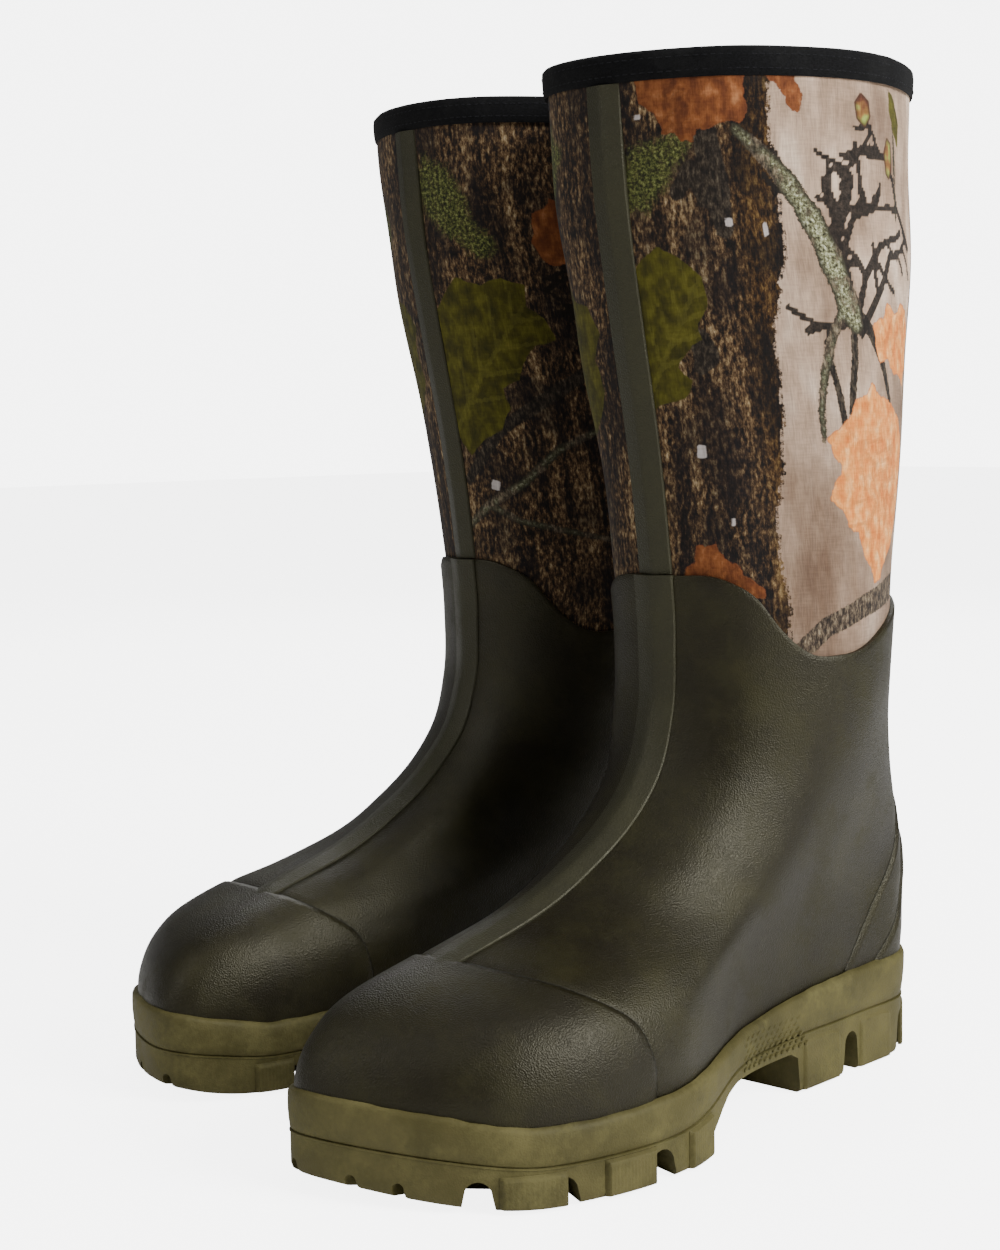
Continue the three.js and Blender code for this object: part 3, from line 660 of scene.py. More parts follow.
def tread_cuts():
    cuts = [cross_cut([
        (-52, -2), (-22, 12.5), (-14, 15.5), (-4, 17), (39, 17), (44, 14.5), (46, -2),
    ])]
    for y, wide, turn, tall in SIDE_GROOVES:
        for sign in (1, -1):
            x = sole_edge(y, sign) - sign * GROOVE_REACH
            degrees = -turn if sign > 0 else 180 + turn
            cuts.append(notch(GROOVE_REACH + 20, wide, tall, x, y, degrees))
    for x, y, wide, tall, turn in TOE_GROOVES:
        cuts.append(notch(48, wide, tall, x, y, -turn))
    for y in (-84, -30, 66, 100, 134):
        cuts.append(cross_groove(y, 5 if y < 0 else 4, 4.5))
    return cuts


def cross_groove(y, wide, tall):
    """A shallow groove across the middle of the tread."""
    section = [(-wide / 2, -2), (wide / 2, -2), (wide * 0.3, tall), (-wide * 0.3, tall)]
    points = [(x, y + a, z) for x in (-26, 26) for a, z in section]
    return prism(points, len(section))


def cut_sole():
    """The blank with its grooves cut out."""
    def plain(name, shape):
        mesh = bpy.data.meshes.new(name)
        points, faces = facing_out(shape)
        mesh.from_pydata(points.tolist(), [], faces)
        obj = bpy.data.objects.new(name, mesh)
        bpy.context.scene.collection.objects.link(obj)
        return obj

    blank = plain("sole_blank", sole_blank())
    cutters = []
    for k, shape in enumerate(tread_cuts()):
        cutter = plain(f"groove_{k}", shape)
        cutters.append(cutter)
        change = blank.modifiers.new(f"groove_{k}", "BOOLEAN")
        change.operation, change.solver, change.object = "DIFFERENCE", "EXACT", cutter
    bpy.context.view_layer.update()
    cut = blank.evaluated_get(bpy.context.evaluated_depsgraph_get()).to_mesh()
    points = np.array([v.co for v in cut.vertices], float)
    faces = [list(p.vertices) for p in cut.polygons]
    for obj in [blank, *cutters]:
        bpy.data.objects.remove(obj)
    return points, faces


def side_path(sign, y_from, y_to, count):
    """Turns along the outer (+1) or inner (-1) side of the sole between two places."""
    turn = np.linspace(0.02, 0.5, 900)
    turn = turn if sign > 0 else 1 - turn
    y = plan_ring(SOLE_PROUD, "ground", 5, turn)[:, 1]
    return np.interp(np.linspace(y_from, y_to, count), y[::-1], turn[::-1])


def side_pad(sign, y_from, y_to, top, ribs=0.0, rounded=0.0, proud=1.3, slant=0.0):
    """A raised panel on the side of one lug."""
    columns = max(int(abs(y_to - y_from) / 0.45), 8)
    turn = side_path(sign, y_from, y_to, columns)
    across = np.linspace(0, 1, columns)
    t = np.linspace(0, 1, 16)[:, None]
    foot = plan_ring(SOLE_PROUD, "ground", 0, turn)
    head = top - rounded * (1 - np.sqrt(np.clip(1 - (2 * across - 1) ** 4, 0, 1)))
    head = head - slant * across
    z = foot[:, 2] + 0.8 + (head - foot[:, 2] - 0.8) * t
    length = abs(y_to - y_from)
    border = np.minimum(np.minimum(across, 1 - across) * length, (head - z))
    border = np.minimum(border, (z - foot[:, 2]))
    rise = soft_step(border / 0.8 - 0.6)
    lines = ribs * np.cos(across * length / 1.5 * 2 * math.pi) * soft_step(border / 1.5 - 1)
    level = crossing("ground", turn, 5)
    normal = outward(level, turn)
    normal[..., 2] = 0
    normal = unit(normal)
    outer = foot[None, :, :2] + normal[None, :, :2] * (proud * rise + lines)[..., None]
    inner = foot[None, :, :2] - normal[None, :, :2] * 1.0 + 0 * outer
    return slab(
        np.concatenate([outer, z[..., None]], -1),
        np.concatenate([inner, z[..., None]], -1),
    )


def lug_panels():
    parts = []
    for sign in (1, -1):
        parts.append(side_pad(sign, -130 + 3 * (sign < 0), -109.5, 12.5, ribs=0.07, proud=1.8))
        parts.append(side_pad(sign, -95.5, -73, 13.5, ribs=0.07, proud=1.8))
        parts.append(side_pad(sign, -54.5, -36, 14.5, ribs=0.07, proud=1.8, slant=-1.5))
        for y_from, y_to in ((48, 73.5), (88.5, 111.5), (126.5, 143)):
            parts.append(side_pad(sign, y_from, y_to, 21, rounded=3.5, proud=1.0))
    return joined(parts)


def sole_side():
    turn = np.arange(SOLE_COLUMNS) / SOLE_COLUMNS
    wobble = 0.25 * ripple(plan_ring(SOLE_PROUD, "rand", 0, turn), 11, 8)
    low = plan_ring(SOLE_PROUD - 0.5, "parting", 0.1, turn)
    start = plan_ring(SOLE_PROUD + 0.1, "parting", 0.7, turn)
    end = plan_ring(SOLE_PROUD, "rand", -2.4, turn)
    rings = [plan_ring(0.2, "parting", 0.3, turn), low, start]
    for share in (0.25, 0.5, 0.75):
        bulge = 0.35 * math.sin(share * math.pi)
        ring = start + (end - start) * share
        out = unit((start - rings[0]) * (1, 1, 0))
        rings.append(ring + out * bulge)
    rings += [end, plan_ring(SOLE_PROUD - 0.5, "rand", -1.1, turn)]
    lip = plan_ring(SOLE_PROUD - 1.5, "rand", -0.3, turn)
    lip[:, 2] += wobble
    inner_lip = plan_ring(0.6, "rand", 0.15, turn)
    inner_lip[:, 2] += wobble
    rings += [lip, inner_lip]
    high, floor = crossing("rand", turn), crossing("parting", turn, 0.3)
    for share in (0.7, 0.35):
        rings.append(skin(floor + (high - floor) * share, turn, 0.2))
    return tube(rings)


def arch_dashes():
    """Rows of small raised dashes on the outer side of the arch."""
    parts = []
    for row in range(6):
        z_row = 19.5 + row * 2.3
        for k in range(12):
            y = 3 + k * 4.1 + (row % 2) * 2.0
            slope = 2.2 + row * 0.1
            turn = side_path(1, y, y + slope, 2)
            point = plan_ring(SOLE_PROUD + 0.35, "parting", 0, turn)
            point[:, 2] = (z_row - 0.5, z_row + 0.7)
            if y < 50 - row * 1.5:
                parts.append(capsule(point[0], point[1], DASH_RADIUS))
    return joined(parts)


# ---- The woodland print: where each motif lies on the cloth ------------------------------
# Places are (distance from the front seam, height); the inner side is negative.

BARK = [
    [(-96, 160), (-92, 205), (-97, 250), (-90, 300), (-96, 345), (-92, 400), (64, 400), (65, 377),
     (67, 362), (68, 334), (63, 308), (59, 272), (55, 234), (53, 211), (56, 190), (55, 160)],
    [(172, 160), (176, 220), (170, 270), (178, 330), (174, 400), (260, 400), (260, 160)],
    [(-176, 160), (-180, 230), (-173, 300), (-179, 400), (-260, 400), (-260, 160)],
]
RUST = [
    [(13, 393), (15, 384), (19, 378), (22, 376), (24, 369), (29, 371), (31, 366), (36, 366),
     (38, 371), (42, 370), (50, 373), (53, 372), (57, 378), (58, 393)],
    [(62, 393), (65, 388), (70, 384), (72, 379), (77, 376), (79, 382), (76, 387), (77, 393)],
    [(12, 199), (13, 205), (18, 210), (20, 217), (23, 216), (27, 218), (30, 212), (34, 210),
     (37, 205), (44, 201), (46, 196)],
    [(-62, 352), (-70, 358), (-80, 352), (-84, 340), (-78, 332), (-68, 330), (-60, 340)],
]
ORANGE = [
    [(108, 300), (116, 302), (120, 308), (128, 304), (136, 309), (145, 306), (150, 296),
     (147, 284), (141, 276), (134, 280), (126, 281), (119, 287), (112, 285)],
    [(95, 272), (101, 273), (105, 278), (112, 272), (119, 271), (126, 268), (134, 264),
     (140, 254), (138, 240), (134, 228), (128, 217), (121, 211), (114, 206), (110, 200),
     (103, 199), (100, 206), (95, 211), (92, 220), (86, 222), (83, 229), (77, 233),
     (80, 240), (84, 246), (80, 250), (76, 256), (81, 259), (86, 262), (91, 266)],
    [(-118, 322), (-128, 330), (-140, 328), (-152, 318), (-158, 304), (-150, 292),
     (-140, 284), (-128, 286), (-120, 296), (-114, 308)],
    [(-128, 214), (-140, 222), (-154, 216), (-160, 204), (-150, 194), (-136, 196)],
]
OLIVE = [
    [(-6, 316), (4, 318), (12, 325), (18, 329), (23, 326), (29, 322), (34, 317), (35, 306),
     (30, 300), (31, 294), (24, 289), (20, 284), (25, 279), (22, 273), (15, 271), (4, 266),
     (-6, 274), (-14, 284), (-10, 296), (-16, 306)],
    [(6, 308), (-6, 311), (-14, 319), (-22, 326), (-34, 322), (-44, 325), (-54, 322),
     (-53, 313), (-60, 308), (-64, 299), (-54, 297), (-48, 290), (-44, 282), (-36, 279),
     (-38, 270), (-32, 261), (-24, 258), (-14, 250), (-8, 258), (2, 264), (10, 276),
     (6, 288), (12, 298)],
    [(128, 388), (134, 384), (139, 376), (137, 366), (132, 372), (128, 380)],
]
MOSS = [
    [(2, 350), (8, 360), (16, 366), (26, 369), (38, 373), (35, 366), (28, 358), (23, 349),
     (16, 341), (6, 342)],
    [(-2, 368), (-12, 378), (-24, 372), (-34, 352), (-44, 340), (-40, 334), (-26, 342),
     (-12, 352)],
]
CHIPS = [
    [(23, 250), (27, 250), (27, 254.5), (23.5, 255)],
    [(45.5, 335), (48.5, 335), (48.5, 338), (45.5, 338)],
    [(60, 331), (62, 332), (61.4, 337), (60, 336)],
    [(13, 375), (16, 375), (15.6, 377), (13, 376.6)],
    [(-22, 236), (-26, 235), (-27, 239), (-23, 240)],
    [(34, 224), (35.6, 224), (35.8, 227), (34.2, 227)],
]
ACORNS = [
    [(104, 375), (103, 381), (107, 385), (112, 382), (113, 376), (109, 372)],
    [(124, 356), (122, 364), (125, 370), (129, 368), (130, 358), (127, 354)],
]
# (distance, height, half width) along each branch
BRANCHES = [
    [(52, 370, 2.0), (60, 363, 3.0), (66, 357, 3.4), (72, 350, 4.6), (76, 344, 4.2),
     (80, 338, 5.4), (84, 330, 4.8), (87, 323, 6.0), (91, 313, 5.2), (94, 306, 6.4),
     (97, 300, 4.4)],
    [(93, 308, 2.4), (85, 296, 2.2), (79, 281, 2.0), (76, 268, 1.6), (76, 256, 1.3)],
    [(-4, 218, 1.8), (-20, 229, 2.2), (-38, 238, 2.0), (-56, 252, 1.8), (-80, 262, 1.4)],
    [(-20, 229, 1.6), (-34, 222, 1.5), (-52, 218, 1.4), (-78, 212, 1.2)],
    [(-160, 392, 4.5), (-146, 372, 4.5), (-134, 352, 4.0), (-126, 336, 3.0)],
    [(131, 380, 0.8), (133, 360, 1.0), (134, 340, 0.8)],
]
DARK_BRANCHES = [
    [(81, 290, 1.4), (85, 274, 1.6), (87, 262, 1.8), (88, 255, 1.0)],
    [(96, 301, 2.0), (95, 286, 1.9), (92, 272, 2.0), (91, 266, 1.4)],
    [(98, 304, 2.6), (107, 296, 2.8), (114, 285, 2.0), (120, 272, 1.6), (124, 262, 1.2)],
    [(56, 172, 4.0), (72, 184, 4.0), (95, 191, 4.6), (118, 195, 5.4), (138, 198, 5.0),
     (152, 205, 3.4), (168, 210, 2.2), (182, 221, 0.3)],
    [(40, 372, 4.5), (43, 350, 5.5), (45, 334, 3.5)],
    [(28, 348, 3.0), (34, 356, 3.5), (38, 344, 2.0)],
    [(30, 294, 4.5), (32, 288, 5.0), (29, 284, 3.0)],
    [(-10, 240, 2.4), (-32, 262, 2.6), (-58, 276, 3.0), (-84, 290, 2.4)],
    [(-118, 345, 2.0), (-112, 320, 1.6), (-108, 296, 1.2), (-110, 270, 0.9)],
    [(140, 262, 0.2), (151, 286, 1.4), (155, 306, 2.2), (163, 330, 2.0), (164, 352, 1.4),
     (172, 376, 0.2)],
]


def roughened(outline, size, seed):
    """An outline with its edges broken up like a torn leaf or bark."""
    rng = random.Random(seed)
    points = [tuple(map(float, p)) for p in outline]
    for level in range(3):
        fresh = []
        for a, b in zip(points, points[1:] + points[:1]):
            run = math.dist(a, b)
            push = rng.uniform(-1, 1) * size * min(run, 12) * 0.5 ** (level * 0.4)
            middle = ((a[0] + b[0]) / 2, (a[1] + b[1]) / 2)
            across = ((b[1] - a[1]) / max(run, 1e-6), (a[0] - b[0]) / max(run, 1e-6))
            fresh += [a, (middle[0] + across[0] * push, middle[1] + across[1] * push)]
        points = fresh
    return points


def inside_distance(flat, outline):
    """Distance inside an outline, negative outside."""
    points = np.array(outline)
    best = np.full(len(flat), 1e9)
    inside = np.zeros(len(flat), bool)
    for a, b in zip(points, np.roll(points, -1, 0)):
        run = b - a
        t = np.clip(((flat - a) @ run) / max(run @ run, 1e-9), 0, 1)
        best = np.minimum(best, ((flat - a - t[:, None] * run) ** 2).sum(1))
        crosses = (a[1] > flat[:, 1]) != (b[1] > flat[:, 1])
        rise = b[1] - a[1] if abs(b[1] - a[1]) > 1e-9 else 1e-9
        inside ^= crosses & (flat[:, 0] < a[0] + (flat[:, 1] - a[1]) * run[0] / rise)
    return np.sqrt(best) * np.where(inside, 1, -1)


def path_distance(flat, path):
    """How far inside a tapering branch each point is, negative outside."""
    best = np.full(len(flat), -1e9)
    for (ax, az, aw), (bx, bz, bw) in zip(path, path[1:]):
        a, run = np.array([ax, az]), np.array([bx - ax, bz - az])
        t = np.clip(((flat - a) @ run) / max(run @ run, 1e-9), 0, 1)
        away = np.linalg.norm(flat - a - t[:, None] * run, axis=1)
        best = np.maximum(best, aw + (bw - aw) * t - away)
    return best


def near(flat, outline, margin):
    xs, zs = [p[0] for p in outline], [p[1] for p in outline]
    return ((flat[:, 0] > min(xs) - margin) & (flat[:, 0] < max(xs) + margin)
            & (flat[:, 1] > min(zs) - margin) & (flat[:, 1] < max(zs) + margin))


def layer_field(flat, outlines, measure, margin=8.0, both_sides=False):
    """The largest inside distance over several motifs, each kept to its own side of the leg."""
    field = np.full(len(flat), -margin)
    for outline in outlines:
        spots = near(flat, outline, margin)
        if not both_sides:
            outer_side = np.mean([p[0] for p in outline]) > 0
            spots &= (flat[:, 2] > 0) == outer_side
        if spots.any():
            field[spots] = np.maximum(field[spots], measure(flat[spots, :2], outline))
    return field


# distance, height, heading, length, half width, how often it forks
TWIG_STARTS = (
    (98, 300, 0.35, 36, 1.1, 2), (96, 308, -0.1, 44, 1.0, 2), (90, 318, 0.5, 32, 0.9, 2),
    (84, 330, 0.75, 28, 0.9, 2), (100, 296, 0.75, 38, 1.0, 2), (76, 342, -0.3, 22, 0.8, 1),
    (97, 300, -1.7, 24, 0.8, 1), (-112, 262, 0.2, 46, 0.9, 3), (-104, 240, -0.4, 34, 0.8, 2),
    (150, 330, -0.5, 40, 0.9, 3), (-140, 236, 0.5, 40, 0.9, 3),
)


def twigs():
    """Fine branching twigs as tapering paths."""
    rng = random.Random(12)
    paths = []

    def grow(x, z, heading, length, wide, depth):
        path = [(x, z, wide)]
        for _ in range(4):
            heading += rng.uniform(-0.32, 0.32)
            x += math.sin(heading) * length / 4
            z += math.cos(heading) * length / 4
            wide *= 0.93
            path.append((x, z, wide))
            if depth and rng.random() < 0.5:
                turn = rng.choice((-1, 1)) * rng.uniform(0.5, 1.0)
                grow(x, z, heading + turn, length * rng.uniform(0.45, 0.7), wide * 0.8, depth - 1)
        paths.append(path)

    for start in TWIG_STARTS:
        grow(*start)
    return paths


def leaf_veins():
    """Midribs and side veins of the larger leaves."""
    ribs = [
        ((134, 262), (92, 214)), ((86, 262), (132, 224)), ((112, 292), (146, 300)),
        ((8, 276), (34, 318)), ((-8, 262), (-56, 318)), ((-124, 292), (-150, 320)),
        ((30, 392), (30, 370)), ((14, 202), (40, 203)),
    ]
    paths = []
    for (ax, az), (bx, bz) in ribs:
        paths.append([(ax, az, 0.55), (bx, bz, 0.3)])
        heading = math.atan2(bx - ax, bz - az)
        length = math.dist((ax, az), (bx, bz))
        for k in range(1, 5):
            x, z = ax + (bx - ax) * k / 5, az + (bz - az) * k / 5
            for sign in (-1, 1):
                way = heading + sign * 0.75
                reach = length * 0.3
                end = (x + math.sin(way) * reach, z + math.cos(way) * reach, 0.2)
                paths.append([(x, z, 0.38), end])
    return paths


# how far back the motifs sit on each boot: outer side, inner side
MOTIF_SHIFT = {"left": (0, 27), "right": (30, 0)}
# layer, outlines, raggedness of the edge, seed
OUTLINED = (
    ("rust", RUST, 0.2, 40), ("orange", ORANGE, 0.18, 60), ("olive", OLIVE, 0.09, 80),
    ("moss", MOSS, 0.2, 90), ("chip", CHIPS, 0.05, 110), ("acorn", ACORNS, 0.02, 130),
)


def print_fields(cloth, side):
    """How far inside each layer of the print every point of the cloth lies."""
    across = cloth[:, 0].astype(float)
    outer, inner = MOTIF_SHIFT[side]
    shifted = np.where(across > 0, across - outer, across + inner)
    flat = np.stack([shifted, cloth[:, 1], across], 1)
    whole = np.stack([across, cloth[:, 1], across], 1)

    def torn(outlines, size, seed):
        return [roughened(o, size, seed + k) for k, o in enumerate(outlines)]

    fields = {"print_bark": layer_field(whole, torn(BARK, 0.16, 3), inside_distance, 12, True)}
    for name, outlines, size, seed in OUTLINED:
        fields[f"print_{name}"] = layer_field(flat, torn(outlines, size, seed), inside_distance)
    paths = (("branch", BRANCHES, 8.0), ("dark", DARK_BRANCHES, 8.0), ("twig", twigs(), 3),
             ("vein", leaf_veins(), 3))
    for name, lines, margin in paths:
        fields[f"print_{name}"] = layer_field(flat, lines, path_distance, margin)
    return fields


# ---- Shader helpers -----------------------------------------------------------------------

def rgb(code):
    """Linear colour from a hex code."""
    parts = [int(code[i:i + 2], 16) / 255 for i in (0, 2, 4)]
    return (*(c / 12.92 if c < 0.04045 else ((c + 0.055) / 1.055) ** 2.4 for c in parts), 1)


def wire(tree, kind, links=None, **settings):
    """Adds a node, sets it up and connects its inputs."""
    node = tree.nodes.new(kind)
    for key, value in settings.items():
        setattr(node, key, value)
    for key, value in (links or {}).items():
        if isinstance(value, bpy.types.NodeSocket):
            tree.links.new(value, node.inputs[key])
        else:
            node.inputs[key].default_value = value
    return node


def maths(tree, operation, a, b=0.0):
    return wire(tree, "ShaderNodeMath", {0: a, 1: b}, operation=operation).outputs[0]


def times(tree, a, b):
    return maths(tree, "MULTIPLY", a, b)


def plus(tree, a, b):
    return maths(tree, "ADD", a, b)


def blended(tree, factor, a, b, mode="MIX"):
    node = wire(tree, "ShaderNodeMix", {0: factor, 6: a, 7: b}, data_type="RGBA", blend_type=mode)
    return node.outputs[2]


def spread(tree, value, low, high, to_low=0.0, to_high=1.0):
    links = {"Value": value, "From Min": low, "From Max": high, "To Min": to_low, "To Max": to_high}
    return wire(tree, "ShaderNodeMapRange", links, interpolation_type="SMOOTHSTEP").outputs[0]


def ramp(tree, value, stops):
    node = wire(tree, "ShaderNodeValToRGB", {0: value})
    line = node.color_ramp
    while len(line.elements) < len(stops):
        line.elements.new(0.5)
    for element, (at, code) in zip(line.elements, stops):
        element.position, element.color = at, rgb(code)
    return node.outputs[0]


def noise(tree, place_out, stretch, scale, detail=3.0, roughness=0.6):
    moved = wire(tree, "ShaderNodeVectorMath", {0: place_out, 1: stretch}, operation="MULTIPLY")
    links = {"Vector": moved.outputs[0], "Scale": scale, "Detail": detail, "Roughness": roughness}
    return wire(tree, "ShaderNodeTexNoise", links).outputs["Fac"]


def attribute(tree, name):
    return wire(tree, "ShaderNodeAttribute", attribute_name=name, attribute_type="GEOMETRY")


def new_group(name, inputs, outputs):
    group = bpy.data.node_groups.new(name, "ShaderNodeTree")
    for label, kind, value in inputs:
        socket = group.interface.new_socket(label, in_out="INPUT", socket_type=kind)
        if value is not None:
            socket.default_value = value
    for label, kind in outputs:
        group.interface.new_socket(label, in_out="OUTPUT", socket_type=kind)
    return group, group.nodes.new("NodeGroupInput"), group.nodes.new("NodeGroupOutput")


def make_pebble_grain():
    """Fine pebbled grain of moulded rubber: a height and a slow mottle."""
    group, ins, outs = new_group(
        "pebble_grain",
        [("Place", "NodeSocketVector", None), ("Scale", "NodeSocketFloat", 1.0)],
        [("Height", "NodeSocketFloat"), ("Mottle", "NodeSocketFloat")],
    )
    place_in, scale = ins.outputs["Place"], ins.outputs["Scale"]
    links = {"Vector": place_in, "Scale": scale, "Smoothness": 0.6}
    cells = wire(group, "ShaderNodeTexVoronoi", links, feature="SMOOTH_F1")
    fine = noise(group, place_in, (1, 1, 1), times(group, scale, 0.9), 3)
    height = plus(group, cells.outputs["Distance"], times(group, fine, 0.9))
    mottle = noise(group, place_in, (1, 1, 1), 0.03, 3)
    group.links.new(height, outs.inputs["Height"])
    group.links.new(mottle, outs.inputs["Mottle"])
    return group


def make_cloth_weave():
    """Fine ribbed knit: thin threads along the cloth, with a little fuzz. Shade is painted shade,
    low in the hollows between threads.
    """
    group, ins, outs = new_group(
        "cloth_weave",
        [("Place", "NodeSocketVector", None), ("Pitch", "NodeSocketFloat", 1.0)],
        [("Height", "NodeSocketFloat"), ("Shade", "NodeSocketFloat")],
    )
    place_in, pitch = ins.outputs["Place"], ins.outputs["Pitch"]
    threads = noise(group, place_in, (1, 0.12, 1), times(group, pitch, 1.6), 2, 0.5)
    rows = noise(group, place_in, (0.12, 1, 1), times(group, pitch, 1.2), 2, 0.5)
    height = plus(group, threads, times(group, rows, 0.6))
    shade = spread(group, height, 0.45, 1.15, 0.0, 1.0)
    group.links.new(height, outs.inputs["Height"])
    group.links.new(shade, outs.inputs["Shade"])
    return group


def make_dust():
    """Soft patches where dust and scuffs dull a surface."""
    group, ins, outs = new_group(
        "dust_patches",
        [("Place", "NodeSocketVector", None), ("Amount", "NodeSocketFloat", 0.5)],
        [("Mask", "NodeSocketFloat")],
    )
    slow = noise(group, ins.outputs["Place"], (1, 1, 1), 0.045, 4)
    quick = noise(group, ins.outputs["Place"], (1, 1, 1), 0.5, 4)
    both = plus(group, slow, times(group, quick, 0.4))
    mask = times(group, spread(group, both, 0.6, 0.95), ins.outputs["Amount"])
    group.links.new(mask, outs.inputs["Mask"])
    return group


GRAIN, WEAVE, DUST = make_pebble_grain(), make_cloth_weave(), make_dust()


def grouped(tree, group, links):
    return wire(tree, "ShaderNodeGroup", links, node_tree=group).outputs


def start_finish(name, on_cad=False):
    """A new material: its tree, its shader and the place on the piece in millimetres."""
    material = bpy.data.materials.new(name)
    material.use_nodes = True
    tree = material.node_tree
    shader = tree.nodes["Principled BSDF"]
    if on_cad:
        at = wire(tree, "ShaderNodeTexCoord").outputs["Object"]
        spot = wire(tree, "ShaderNodeVectorMath", {0: at, 1: (1000,) * 3}, operation="MULTIPLY")
        return material, tree, shader, spot.outputs[0]
    return material, tree, shader, attribute(tree, "spot").outputs["Vector"]


def bumped(tree, shader, height, distance, strength=1.0):
    links = {"Height": height, "Distance": distance / 1000, "Strength": strength}
    bump = wire(tree, "ShaderNodeBump", links)
    tree.links.new(bump.outputs[0], shader.inputs["Normal"])


WARM_SHINE = (1.0, 0.96, 0.74, 1)
SEAM_GROOVE = 1.35  # the painted groove shade beside a raised layer lies this far outside its edge


def finish_upper_rubber(seams):
    name = "upper_rubber_moulded" if seams else "upper_rubber_strip"
    material, tree, shader, spot = start_finish(name)
    grain = grouped(tree, GRAIN, {"Place": spot, "Scale": 1.7})
    dust = grouped(tree, DUST, {"Place": spot, "Amount": 0.35})["Mask"]
    colour = ramp(tree, grain["Mottle"], [(0.35, "100c04"), (0.55, "161306"), (0.72, "1f1c0a")])
    colour = blended(tree, dust, colour, rgb("2a2810"))
    height = grain["Height"]
    if not seams:
        colour = blended(tree, 0.4, colour, rgb("38382b"))
    else:
        # painted shade: the colour darkens along the groove at the foot of each raised layer's edge,
        # where the bump dips too
        marks = wire(tree, "ShaderNodeSeparateXYZ", {0: attribute(tree, "seams").outputs["Vector"]})
        for k in range(3):
            away = maths(tree, "ABSOLUTE", plus(tree, marks.outputs[k], SEAM_GROOVE))
            line = spread(tree, away, 0.1, 0.8, 1.0, 0.0)
            colour = blended(tree, times(tree, line, 0.75), colour, rgb("100f0b"))
            height = maths(tree, "SUBTRACT", height, times(tree, line, 1.2))
    rough = spread(tree, dust, 0.0, 0.4, 0.42, 0.54)
    tree.links.new(colour, shader.inputs["Base Color"])
    tree.links.new(rough, shader.inputs["Roughness"])
    shader.inputs["Specular IOR Level"].default_value = 0.31
    shader.inputs["Specular Tint"].default_value = WARM_SHINE
    bumped(tree, shader, height, 0.17)
    return material


def finish_sole():
    material, tree, shader, spot = start_finish("sole_rubber_khaki")
    grain = grouped(tree, GRAIN, {"Place": spot, "Scale": 1.4})
    dust = grouped(tree, DUST, {"Place": spot, "Amount": 0.7})["Mask"]
    colour = ramp(tree, grain["Mottle"], [(0.3, "383419"), (0.5, "464122"), (0.7, "534d2c")])
    colour = blended(tree, dust, colour, rgb("5f5a37"))
    flecks = spread(tree, noise(tree, spot, (1, 1, 1), 0.22, 5), 0.62, 0.74)
    colour = blended(tree, times(tree, flecks, 0.3), colour, rgb("37321b"))
    tree.links.new(colour, shader.inputs["Base Color"])
    tree.links.new(spread(tree, dust, 0.0, 0.6, 0.62, 0.78), shader.inputs["Roughness"])
    shader.inputs["Specular IOR Level"].default_value = 0.3
    shader.inputs["Specular Tint"].default_value = WARM_SHINE
    bumped(tree, shader, grain["Height"], 0.09)
    return material


# layer, colours, share and colour of the veins, width and colour of the rim, torn edge
LEAVES = (
    ("print_olive", [(0.3, "2b2908"), (0.45, "3b370b"), (0.57, "4a460f"), (0.72, "5a5519")],
     0.5, "6a6526", 0, "", 1.0),
    ("print_rust", [(0.3, "4a2412"), (0.46, "65371b"), (0.58, "7c4825"), (0.72, "9c6842")],
     0.5, "351709", 0.6, "6b3a1e", 2.0),
    ("print_orange",
     [(0.3, "c0682a"), (0.44, "d07e3a"), (0.55, "da914c"), (0.66, "e5aa6c"), (0.8, "eec08e")],
     0.45, "7f3d1d", 0.7, "b06a3c", 2.2),
)


